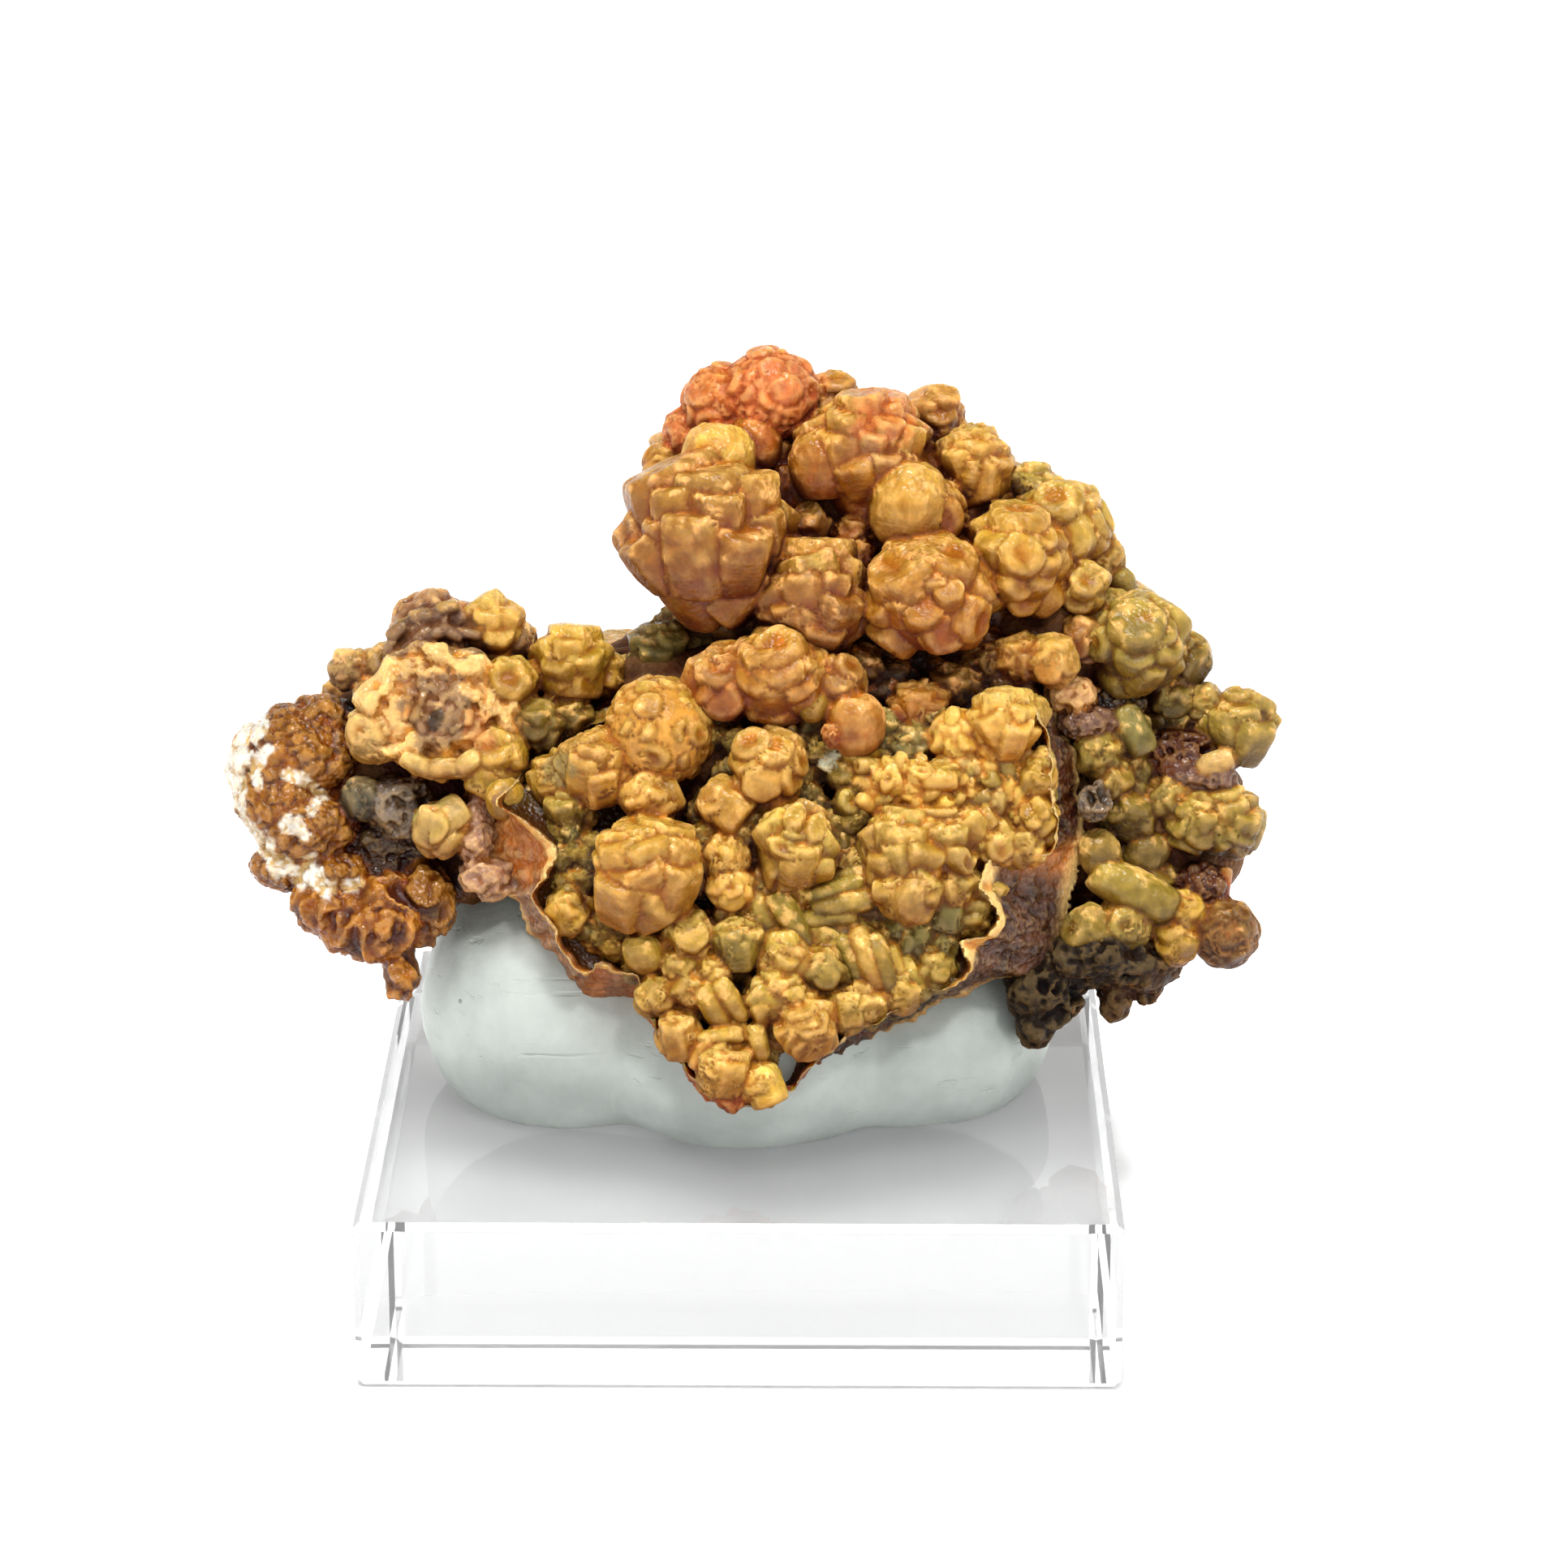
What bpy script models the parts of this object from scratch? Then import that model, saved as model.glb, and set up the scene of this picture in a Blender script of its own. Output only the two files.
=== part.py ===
"""Pyromorphite on a clear block: barrel crystals in rounded groups on spongy matrix, held by a lump of tack.

Metres, +Z up. The origin is the centre of the block's underside, and -Y is the front.
"""

import math
import random

import bmesh
import bpy
from mathutils import Matrix, Vector, noise

MM = 0.001

# The clear block
BLOCK_SIDE = 38.1 * MM
BLOCK_HEIGHT = 8.8 * MM
BLOCK_EDGE = 0.35 * MM

# Clearance between pieces that rest on each other
GAP = 0.3 * MM

# The standpoint from which the specimen is laid out, in mm from the block's upper front edge
VIEW_TURN = math.radians(0.46)
VIEW_TILT = math.radians(19.2)
VIEW_DISTANCE = 268.4
VIEW_CENTRE_ACROSS = 2.3
VIEW_CENTRE_UP = 21.8
VIEW_AXES = Matrix.Rotation(VIEW_TURN, 3, "Z") @ Matrix.Rotation(-VIEW_TILT, 3, "X")
BLOCK_FRONT_TOP = Vector((0.0, -BLOCK_SIDE / 2, BLOCK_HEIGHT))

# Crystal proportions, as shares of a group's radius
GROOVE_DEPTH = 0.19
TIP_SHARE = 0.72
REACH_RANGE = (0.95, 1.04)
SWELL = 1.08

# How a group's crystals are spread: the turn of their spiral, how far round to the grown-over side they
# reach, and the few that close that side
SPIRAL_TILT = 3.0
FACING_LIMIT = -0.35
HIDDEN_SEEDS = 3
HIDDEN_TILT = 0.9

# How finely round shapes are made, in subdivisions, and the faces that the finished specimen keeps
SMOOTH_DETAIL = 2
SMALL_LUMP_DETAIL = 2
LARGE_LUMP_DETAIL = 3
PIT_DETAIL = 1
TACK_DETAIL = 3
CLUSTER_FACES = 8500
SEED = 4107

# The middle line of the specimen, which the crystals point away from
SPINE_HALF = 12.0 * MM
SPINE_CENTRE = Vector((5.0, 1.5, 25.0)) * MM

# Rounded groups of crystals, as seen: across, up, depth, radius, and how many
# crystals would cover the whole ball (0 for a smooth one)
UPPER_GROUPS = (
    (0.8, 40.4, 11.2, 3.1, 18),
    (-1.9, 39.6, 11.4, 2.6, 15),
    (-1.3, 34.3, 8.4, 4.6, 24),
    (-1.5, 37.3, 8.8, 2.6, 15),
    (6.2, 38.6, 9.6, 3.4, 18),
    (4.7, 36.0, 8.2, 2.6, 15),
    (11.5, 37.6, 10.4, 2.1, 13),
    (8.6, 35.3, 7.2, 2.15, 0),
    (3.7, 31.4, 7.6, 2.9, 15),
    (9.2, 31.2, 7.0, 3.4, 18),
    (13.6, 33.2, 8.4, 2.9, 15),
    (16.4, 34.2, 10.6, 3.0, 18),
    (16.9, 31.0, 9.2, 1.6, 0),
    (19.7, 28.6, 9.8, 2.9, 15),
    (18.3, 31.8, 12.0, 2.1, 13),
    (21.5, 26.6, 11.8, 1.9, 13),
)
MIDDLE_GROUPS = (
    (-0.1, 26.7, 6.9, 2.5, 15),
    (3.2, 26.7, 6.5, 2.9, 15),
    (5.8, 24.8, 6.0, 1.45, 0),
    (14.6, 28.1, 8.2, 2.0, 13),
    (7.2, 27.2, 10.0, 2.4, 15),
    (9.0, 25.4, 8.2, 1.8, 13),
    (-3.7, 28.0, 11.0, 2.0, 13),
)
PLATE_GROUPS = (
    (-3.8, 24.4, 6.6, 2.5, 15),
    (-7.0, 22.6, 7.0, 2.1, 13),
    (-9.9, 20.4, 8.0, 1.8, 13),
    (1.5, 22.6, 5.8, 2.1, 13),
    (-1.0, 20.6, 5.8, 1.35, 0),
    (-4.4, 20.9, 6.2, 1.5, 10),
    (-4.6, 17.6, 5.4, 2.9, 15),
    (-0.4, 17.2, 5.6, 1.45, 10),
    (2.8, 18.8, 5.4, 2.2, 13),
    (8.0, 20.6, 5.2, 2.5, 15),
    (8.7, 17.3, 5.3, 2.3, 13),
    (13.0, 17.8, 5.9, 2.0, 13),
    (10.8, 24.4, 6.2, 1.8, 13),
    (13.1, 25.2, 6.2, 2.2, 13),
    (14.3, 20.8, 6.8, 1.7, 10),
    (11.6, 21.4, 6.6, 1.5, 10),
    (8.4, 23.6, 7.0, 1.5, 10),
    (5.5, 22.2, 7.0, 1.7, 10),
    (-8.0, 16.4, 6.6, 1.2, 0),
    (-3.6, 13.8, 5.6, 1.3, 10),
    (-1.6, 14.4, 5.5, 1.2, 0),
    (0.4, 14.6, 5.5, 1.35, 10),
    (3.2, 13.4, 5.6, 1.5, 10),
    (-1.0, 10.9, 5.2, 1.35, 10),
    (3.3, 10.4, 5.2, 1.6, 10),
    (5.6, 11.2, 5.7, 1.2, 10),
    (-0.4, 8.2, 5.2, 1.3, 10),
    (1.4, 6.9, 5.2, 1.1, 0),
    (9.8, 13.6, 6.2, 1.4, 10),
    (5.0, 16.0, 6.3, 2.0, 13),
    (6.9, 12.9, 6.3, 1.9, 13),
    (11.3, 15.4, 6.6, 1.6, 10),
    (-7.3, 19.4, 6.9, 1.7, 10),
    (-6.2, 14.2, 6.3, 1.3, 10),
    (-2.4, 20.4, 6.4, 1.3, 0),
    (0.2, 19.6, 6.4, 1.3, 10),
    (1.2, 12.3, 5.7, 1.3, 10),
    (-2.7, 11.8, 5.8, 1.2, 10),
    (-1.6, 6.6, 5.4, 1.0, 0),
    (4.6, 13.6, 5.9, 1.2, 10),
    (11.2, 18.4, 6.4, 1.5, 10),
)
LEFT_GROUPS = (
    (-15.2, 28.9, 10.2, 2.0, 13),
    (-12.3, 29.5, 10.6, 1.9, 13),
    (-8.4, 27.7, 9.4, 2.3, 13),
    (-9.2, 24.8, 9.0, 1.7, 0),
    (-11.2, 24.0, 8.8, 1.5, 10),
    (-17.3, 26.2, 9.0, 2.2, 13),
    (-14.3, 26.2, 8.4, 2.3, 13),
    (-14.8, 23.3, 8.2, 2.1, 13),
    (-18.9, 26.9, 10.6, 1.5, 10),
    (-22.3, 23.5, 11.2, 2.6, 15),
    (-22.7, 20.2, 11.2, 2.6, 15),
    (-21.2, 18.0, 10.8, 2.3, 13),
    (-20.1, 22.2, 10.2, 2.0, 13),
    (-20.4, 15.3, 10.6, 2.2, 13),
    (-17.9, 14.8, 10.2, 2.6, 15),
    (-15.4, 15.6, 10.6, 2.1, 13),
    (-16.6, 12.6, 10.6, 1.5, 10),
    (-13.9, 20.0, 8.8, 2.1, 13),
    (-12.6, 17.8, 9.4, 1.6, 10),
)
RIGHT_GROUPS = (
    (24.7, 24.6, 11.2, 2.1, 13),
    (22.8, 26.0, 12.0, 1.5, 10),
    (22.8, 20.0, 10.6, 2.1, 13),
    (24.6, 19.8, 11.4, 1.8, 13),
    (22.2, 23.2, 11.2, 1.7, 10),
    (18.3, 24.6, 10.2, 1.9, 13),
    (18.9, 20.8, 10.6, 1.9, 13),
    (18.4, 16.8, 9.6, 1.6, 0),
    (20.2, 16.5, 9.8, 1.6, 10),
    (20.9, 18.5, 11.0, 1.4, 0),
    (24.0, 14.3, 10.6, 1.7, 10),
    (22.0, 15.3, 10.6, 1.4, 10),
)
BACK_GROUPS = (
    (-0.5, 36.4, 14.6, 4.0, 18),
    (6.2, 35.6, 15.4, 4.2, 18),
    (12.6, 33.8, 15.6, 3.8, 18),
    (17.8, 29.4, 16.2, 3.4, 18),
    (1.0, 29.0, 18.6, 4.4, 18),
    (9.0, 28.0, 20.0, 4.6, 24),
    (16.0, 23.0, 20.6, 4.2, 18),
    (21.8, 20.6, 16.8, 3.3, 18),
    (-6.2, 25.2, 18.4, 4.0, 18),
    (-12.4, 25.0, 16.6, 3.4, 18),
    (-18.4, 21.6, 15.6, 3.4, 18),
    (2.2, 20.4, 21.8, 4.3, 18),
    (9.6, 18.8, 22.2, 3.9, 18),
    (-5.2, 17.8, 20.4, 3.8, 18),
    (-12.8, 17.4, 17.2, 3.3, 18),
)

# Spongy matrix, as seen: across, up, depth, then its half sizes across, in depth and up. A lump wider than
# LARGE_LUMP is made finer. The noise is a share of the size, and its scale a share of the radius.
MATRIX_LUMPS = (
    (0.5, 22.0, 14.0, 12.5, 6.0, 8.0),
    (5.5, 32.5, 13.0, 8.5, 4.2, 6.5),
    (13.5, 27.0, 14.6, 8.0, 5.0, 7.5),
    (-14.5, 21.5, 13.6, 9.0, 3.8, 6.0),
    (18.5, 19.5, 14.8, 6.4, 4.4, 6.2),
    (2.0, 13.5, 16.0, 11.0, 6.0, 4.5),
    (16.6, 12.7, 11.6, 3.4, 3.4, 2.6),
    (19.8, 13.6, 12.0, 2.8, 3.0, 2.0),
    (14.6, 10.6, 11.0, 1.3, 1.5, 2.1),
    (19.4, 11.4, 11.8, 1.0, 1.1, 1.5),
)
LARGE_LUMP = 4.0
LUMP_NOISE = 0.22
LUMP_NOISE_SCALE = 0.45

# The broken plate in front, as seen: across, up, and how far its back face leans out past that point
PLATE_OUTLINE = (
    (-11.2, 21.4, 1.4),
    (-9.4, 20.0, 2.6),
    (-8.7, 17.4, 2.2),
    (-8.3, 14.4, 1.6),
    (-6.6, 12.4, 1.2),
    (-4.4, 11.4, 0.9),
    (-3.2, 8.8, 0.5),
    (-2.6, 6.4, 0.4),
    (-1.6, 5.5, 0.3),
    (0.6, 5.4, 0.3),
    (3.0, 7.2, 0.4),
    (6.0, 9.8, 0.6),
    (11.0, 12.3, 1.0),
    (13.6, 15.4, 2.6),
    (15.0, 19.6, 2.6),
    (15.2, 24.6, 2.2),
    (12.4, 26.4, 0.4),
    (3.0, 25.4, 0.2),
    (-7.0, 24.8, 0.4),
)

# How deep the plate's front and back faces lie
PLATE_FRONT = 6.4
PLATE_BACK = 10.6

# Open pits in the porous crust and the matrix, as seen: across, up, depth, radius
PITS = (
    (-15.8, 27.6, 7.0, 0.9),
    (-13.6, 25.6, 6.0, 0.8),
    (-16.6, 25.0, 6.8, 0.9),
    (-14.9, 22.8, 6.1, 0.8),
    (-18.4, 24.4, 8.6, 0.8),
    (-21.6, 21.6, 8.6, 0.8),
    (-17.4, 20.6, 9.4, 1.6),
    (-17.2, 18.4, 9.2, 1.2),
    (22.6, 21.8, 9.8, 0.8),
    (18.0, 13.2, 8.2, 1.2),
    (16.0, 13.8, 8.0, 0.9),
)

# The lump of tack: centre across, back and up, then its half sizes, in mm
TACK_LUMPS = (
    (-8.8, 0.2, 13.4, 8.0, 8.6, 7.6),
    (0.4, -1.0, 12.2, 9.0, 9.6, 6.8),
    (8.2, 0.6, 12.0, 7.8, 8.6, 6.0),
)
TACK_VOXEL = 0.9 * MM
TACK_SMOOTHING = 6
TACK_FACES = 1300

# The seat that the specimen has in the tack, and how much wider than the block the cutter for the foot is
SEAT_MARGIN = 0.6 * MM
SEAT_VOXEL = 0.6 * MM
FOOT_CUT_SPREAD = 2

# Materials: colour, roughness, opacity and transmission
CRYSTAL_LOOK = ("pyromorphite", (0.72, 0.36, 0.08), 0.38, 1.0, 0.0)
TACK_LOOK = ("tack", (0.70, 0.74, 0.74), 0.6, 1.0, 0.0)
BLOCK_LOOK = ("clear_acrylic", (0.96, 0.97, 0.97), 0.05, 0.35, 1.0)


def clear_scene():
    for obj in list(bpy.data.objects):
        bpy.data.objects.remove(obj)


def new_collection(name):
    collection = bpy.data.collections.new(name)
    bpy.context.scene.collection.children.link(collection)
    return collection


def material(name, colour, roughness, alpha, transmission):
    made = bpy.data.materials.new(name)
    made.use_nodes = True
    shader = made.node_tree.nodes["Principled BSDF"]
    shader.inputs["Base Color"].default_value = (*colour, 1.0)
    shader.inputs["Roughness"].default_value = roughness
    shader.inputs["Metallic"].default_value = 0.0
    shader.inputs["Alpha"].default_value = alpha
    shader.inputs["Transmission Weight"].default_value = transmission
    return made


def object_from(name, shape, collection):
    mesh = bpy.data.meshes.new(name)
    shape.to_mesh(mesh)
    shape.free()
    obj = bpy.data.objects.new(name, mesh)
    collection.objects.link(obj)
    return obj


def make_helper(obj):
    obj.hide_render = True
    obj.display_type = "WIRE"
    return obj


def magnified(size, depth):
    """A seen size in mm as a real one in metres."""
    return size * (1 + depth / VIEW_DISTANCE) * MM


def sight(across, up, depth):
    """The place seen at (across, up) from the standpoint, at a depth behind the block's upper front edge."""
    zoom = 1 + depth / VIEW_DISTANCE
    right = VIEW_CENTRE_ACROSS + (across - VIEW_CENTRE_ACROSS) * zoom
    above = VIEW_CENTRE_UP + (up - VIEW_CENTRE_UP) * zoom
    return BLOCK_FRONT_TOP + VIEW_AXES @ Vector((right, depth, above)) * MM


def outward_at(place):
    """The direction that growth takes at a place: away from the specimen's middle line."""
    along = max(-SPINE_HALF, min(SPINE_HALF, place.x - SPINE_CENTRE.x))
    return (place - SPINE_CENTRE - Vector((along, 0.0, 0.0))).normalized()


def spread_directions(count, rng):
    """Directions spread evenly over a sphere, from a spiral with a random turn."""
    spin = Matrix.Rotation(rng.uniform(0, math.tau), 3, "Z")
    turn = spin @ Matrix.Rotation(rng.uniform(0, SPIRAL_TILT), 3, "X")
    golden = math.pi * (3 - math.sqrt(5))
    directions = []
    for index in range(count):
        height = 1 - 2 * (index + 0.5) / count
        ring = math.sqrt(1 - height * height)
        angle = golden * index
        directions.append(turn @ Vector((ring * math.cos(angle), ring * math.sin(angle), height)))
    return directions


def crystal_seeds(outward, count, rng):
    """The directions of a group's crystals: spread over its open side, with a few on the side grown over."""
    facing = [way for way in spread_directions(count, rng) if way.dot(outward) > FACING_LIMIT]
    side = outward.orthogonal()
    for index in range(HIDDEN_SEEDS):
        around = Matrix.Rotation(index * math.tau / HIDDEN_SEEDS, 3, outward) @ side
        facing.append((around - outward * HIDDEN_TILT).normalized())
    facing.append(-outward)
    return facing


def ordered_corners(seed, faces):
    """The corner directions of a crystal's outline, in order around it."""
    side = seed.orthogonal().normalized()
    up = seed.cross(side)
    corners = [face.normal.copy() for face in faces]
    order = [math.atan2(corner.dot(up), corner.dot(side)) for corner in corners]
    return [index for _, index in sorted(zip(order, range(len(corners))))]


def add_group(shape, row, rng):
    """A ball of crystals packed side by side, each with a flat end and a groove all round it."""
    across, up, depth, seen_radius, count = row
    centre = sight(across, up, depth)
    radius = magnified(seen_radius * SWELL, depth)
    if count == 0:
        place = Matrix.Translation(centre)
        bmesh.ops.create_icosphere(shape, subdivisions=SMOOTH_DETAIL, radius=radius, matrix=place)
        return
    hull = bmesh.new()
    for seed in crystal_seeds(outward_at(centre), count, rng):
        hull.verts.new(seed)
    bmesh.ops.convex_hull(hull, input=hull.verts[:])
    hull.normal_update()
    groove = radius * (1 - GROOVE_DEPTH)
    floor = {face: shape.verts.new(centre + face.normal * groove) for face in hull.faces}
    for vert in hull.verts:
        faces = list(vert.link_faces)
        seed = vert.co.normalized()
        reach = radius * rng.uniform(*REACH_RANGE)
        order = ordered_corners(seed, faces)
        tips = []
        for index in order:
            way = seed.lerp(faces[index].normal, TIP_SHARE)
            tips.append(shape.verts.new(centre + way * (reach / way.dot(seed))))
        shape.faces.new(tips)
        for place, index in enumerate(order):
            after = (place + 1) % len(order)
            low = floor[faces[index]]
            low_after = floor[faces[order[after]]]
            shape.faces.new((low, low_after, tips[after], tips[place]))
    hull.free()


def add_lump(shape, row):
    """An uneven lump of matrix."""
    across, up, depth, half_across, half_depth, half_up = row
    detail = LARGE_LUMP_DETAIL if half_across > LARGE_LUMP else SMALL_LUMP_DETAIL
    made = bmesh.ops.create_icosphere(shape, subdivisions=detail, radius=1.0)
    centre = sight(across, up, depth)
    halves = [magnified(half, depth) for half in (half_across, half_depth, half_up)]
    for vert in made["verts"]:
        wave = noise.noise(vert.co / LUMP_NOISE_SCALE + Vector((across, up, depth)))
        local = Vector(half * value for half, value in zip(halves, vert.co))
        vert.co = centre + VIEW_AXES @ (local * (1 + LUMP_NOISE * wave))


def plate_shape():
    """The broken plate: its outline as seen, wider at the back where its broken edges lean out."""
    shape = bmesh.new()
    count = len(PLATE_OUTLINE)
    fronts = []
    backs = []
    for index, (across, up, lean) in enumerate(PLATE_OUTLINE):
        before = PLATE_OUTLINE[index - 1]
        after = PLATE_OUTLINE[(index + 1) % count]
        along = Vector((after[0] - before[0], after[1] - before[1])).normalized()
        out = Vector((along.y, -along.x))
        back = Vector((across, up)) + out * lean
        fronts.append(shape.verts.new(sight(across, up, PLATE_FRONT)))
        backs.append(shape.verts.new(sight(back.x, back.y, PLATE_BACK)))
    for index in range(count):
        after = (index + 1) % count
        shape.faces.new((fronts[index], backs[index], backs[after], fronts[after]))
    shape.faces.new(fronts)
    shape.faces.new(list(reversed(backs)))
    bmesh.ops.triangulate(shape, faces=shape.faces[:])
    bmesh.ops.recalc_face_normals(shape, faces=shape.faces[:])
    return shape


def add_boolean(obj, name, operation, cutter):
    modifier = obj.modifiers.new(name, "BOOLEAN")
    modifier.operation = operation
    modifier.solver = "EXACT"
    modifier.use_self = True
    modifier.object = cutter


def face_islands(shape):
    """The face sets that aren't joined to each other by an edge."""
    left = set(shape.faces)
    islands = []
    while left:
        front = [left.pop()]
        island = list(front)
        while front:
            face = front.pop()
            for edge in face.edges:
                for near in edge.link_faces:
                    if near in left:
                        left.remove(near)
                        island.append(near)
                        front.append(near)
        islands.append(island)
    return islands


def solid_from(obj, collection, name):
    """The object's evaluated shape as a new object, with any closed pocket inside filled."""
    graph = bpy.context.evaluated_depsgraph_get()
    mesh = bpy.data.meshes.new_from_object(obj.evaluated_get(graph))
    shape = bmesh.new()
    shape.from_mesh(mesh)
    bmesh.ops.triangulate(shape, faces=shape.faces[:])
    islands = sorted(face_islands(shape), key=len)
    inner = [face for island in islands[:-1] for face in island]
    bmesh.ops.delete(shape, geom=inner, context="FACES")
    return object_from(name, shape, collection)


def all_groups():
    return UPPER_GROUPS + MIDDLE_GROUPS + PLATE_GROUPS + LEFT_GROUPS + RIGHT_GROUPS + BACK_GROUPS


def build_cluster(pieces, helpers):
    rng = random.Random(SEED)
    growth = bmesh.new()
    for row in all_groups():
        add_group(growth, row, rng)
    for row in MATRIX_LUMPS:
        add_lump(growth, row)
    growth_helper = make_helper(object_from("growth", growth, helpers))
    pits = bmesh.new()
    for across, up, depth, radius in PITS:
        place = Matrix.Translation(sight(across, up, depth))
        size = magnified(radius, depth)
        bmesh.ops.create_icosphere(pits, subdivisions=PIT_DETAIL, radius=size, matrix=place)
    pit_helper = make_helper(object_from("pits", pits, helpers))
    plate = make_helper(object_from("broken_plate", plate_shape(), helpers))
    add_boolean(plate, "grown together", "UNION", growth_helper)
    add_boolean(plate, "open pits", "DIFFERENCE", pit_helper)
    cluster = solid_from(plate, pieces, "pyromorphite_cluster")
    thin = cluster.modifiers.new("fewer faces", "DECIMATE")
    thin.ratio = CLUSTER_FACES / len(cluster.data.polygons)
    cluster.data.materials.append(material(*CRYSTAL_LOOK))
    return cluster


def build_base(pieces):
    bpy.ops.mesh.primitive_cube_add(size=1.0, location=(0.0, 0.0, BLOCK_HEIGHT / 2))
    base = bpy.context.object
    base.name = "acrylic_base"
    base.scale = (BLOCK_SIDE, BLOCK_SIDE, BLOCK_HEIGHT)
    bpy.ops.object.transform_apply(location=False, rotation=False, scale=True)
    for collection in list(base.users_collection):
        collection.objects.unlink(base)
    pieces.objects.link(base)
    bevel = base.modifiers.new("polished edges", "BEVEL")
    bevel.width = BLOCK_EDGE
    bevel.segments = 1
    base.data.materials.append(material(*BLOCK_LOOK))
    return base


def build_tack(pieces, helpers, cluster_mesh):
    """The tack: a pressed lump with a flat foot, and a seat with the specimen's form."""
    shape = bmesh.new()
    for across, back, up, half_across, half_back, half_up in TACK_LUMPS:
        place = Matrix.Translation(Vector((across, back, up)) * MM)
        size = Matrix.Diagonal((half_across * MM, half_back * MM, half_up * MM, 1.0))
        bmesh.ops.create_icosphere(shape, subdivisions=TACK_DETAIL, radius=1.0, matrix=place @ size)
    lump = make_helper(object_from("tack_lump", shape, helpers))
    remesh = lump.modifiers.new("one lump", "REMESH")
    remesh.mode = "VOXEL"
    remesh.voxel_size = TACK_VOXEL
    smooth = lump.modifiers.new("rounded", "SMOOTH")
    smooth.iterations = TACK_SMOOTHING

    foot = bmesh.new()
    cut_side = BLOCK_SIDE * FOOT_CUT_SPREAD
    size = Matrix.Diagonal((cut_side, cut_side, BLOCK_HEIGHT, 1.0))
    place = Matrix.Translation((0.0, 0.0, BLOCK_HEIGHT / 2 + GAP))
    bmesh.ops.create_cube(foot, size=1.0, matrix=place @ size)
    foot_helper = make_helper(object_from("tack_foot", foot, helpers))

    seat = make_helper(bpy.data.objects.new("seat", cluster_mesh))
    helpers.objects.link(seat)
    grow = seat.modifiers.new("clearance", "DISPLACE")
    grow.mid_level = 0.0
    grow.strength = SEAT_MARGIN
    even = seat.modifiers.new("even seat", "REMESH")
    even.mode = "VOXEL"
    even.voxel_size = SEAT_VOXEL

    add_boolean(lump, "flat foot", "DIFFERENCE", foot_helper)
    add_boolean(lump, "seat", "DIFFERENCE", seat)
    tack = solid_from(lump, pieces, "mineral_tack")
    thin = tack.modifiers.new("fewer faces", "DECIMATE")
    thin.ratio = TACK_FACES / len(tack.data.polygons)
    tack.data.materials.append(material(*TACK_LOOK))
    return tack


def main():
    clear_scene()
    pieces = new_collection("pyromorphite")
    helpers = new_collection("helpers")
    build_base(pieces)
    cluster = build_cluster(pieces, helpers)
    build_tack(pieces, helpers, cluster.data)


main()
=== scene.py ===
"""Looks of the pyromorphite specimen: crystal growth, broken edges, tack, clear block, light and camera."""

import math
import time
from collections import namedtuple

import bmesh
import bpy
import numpy as np
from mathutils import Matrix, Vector, kdtree


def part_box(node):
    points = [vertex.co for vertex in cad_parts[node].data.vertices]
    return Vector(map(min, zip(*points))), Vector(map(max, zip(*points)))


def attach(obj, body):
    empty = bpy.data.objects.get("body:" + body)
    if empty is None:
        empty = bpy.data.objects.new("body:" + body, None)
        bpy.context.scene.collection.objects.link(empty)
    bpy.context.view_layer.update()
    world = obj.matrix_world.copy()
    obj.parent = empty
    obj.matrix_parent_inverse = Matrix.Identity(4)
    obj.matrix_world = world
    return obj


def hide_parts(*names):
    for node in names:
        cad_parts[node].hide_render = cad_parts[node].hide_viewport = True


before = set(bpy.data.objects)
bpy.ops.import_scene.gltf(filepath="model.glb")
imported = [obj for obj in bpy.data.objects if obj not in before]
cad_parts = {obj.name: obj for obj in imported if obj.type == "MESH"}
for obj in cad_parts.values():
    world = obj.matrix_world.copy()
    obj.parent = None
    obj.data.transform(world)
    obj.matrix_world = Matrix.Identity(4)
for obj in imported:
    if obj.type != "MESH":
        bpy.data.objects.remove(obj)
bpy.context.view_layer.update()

MM = 0.001
FLOOR_GAP = 0.05 * MM

# The block as model.glb gives it
BLOCK_LOW, BLOCK_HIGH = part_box("acrylic_base")
BLOCK_TOP = BLOCK_HIGH.z
BLOCK_FRONT = BLOCK_LOW.y

# How the photograph's pixels lie on the plane through the block's upper front edge
PX_PER_MM = 25.0
ZERO_U = 909.0
ZERO_V = 1511.0
VIEW_TURN = math.radians(0.46)
VIEW_TILT = math.radians(19.2)
VIEW_DISTANCE = 268.4
VIEW_CENTRE = (2.3, 21.8)

SINE, COSINE = math.sin(VIEW_TILT), math.cos(VIEW_TILT)
TURN_SINE, TURN_COSINE = math.sin(VIEW_TURN), math.cos(VIEW_TURN)
EYE_RIGHT = np.array((TURN_COSINE, TURN_SINE, 0.0))
EYE_AWAY = np.array((-TURN_SINE * COSINE, TURN_COSINE * COSINE, -SINE))
EYE_UP = np.array((-TURN_SINE * SINE, TURN_COSINE * SINE, COSINE))
VIEW_AXES = np.stack((EYE_RIGHT, EYE_AWAY, EYE_UP), axis=1)
EYE_SIDE = -EYE_AWAY

# The specimen's middle line, which the crystals point away from
SPINE_HALF = 0.012
SPINE_CENTRE = np.array((0.005, 0.0015, 0.025))


def srgb(red, green, blue):
    """A colour as it is seen, from 0 to 255, as a linear one."""
    seen_colour = np.array((red, green, blue)) / 255.0
    return np.where(seen_colour <= 0.04045, seen_colour / 12.92, ((seen_colour + 0.055) / 1.055) ** 2.4)
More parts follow.
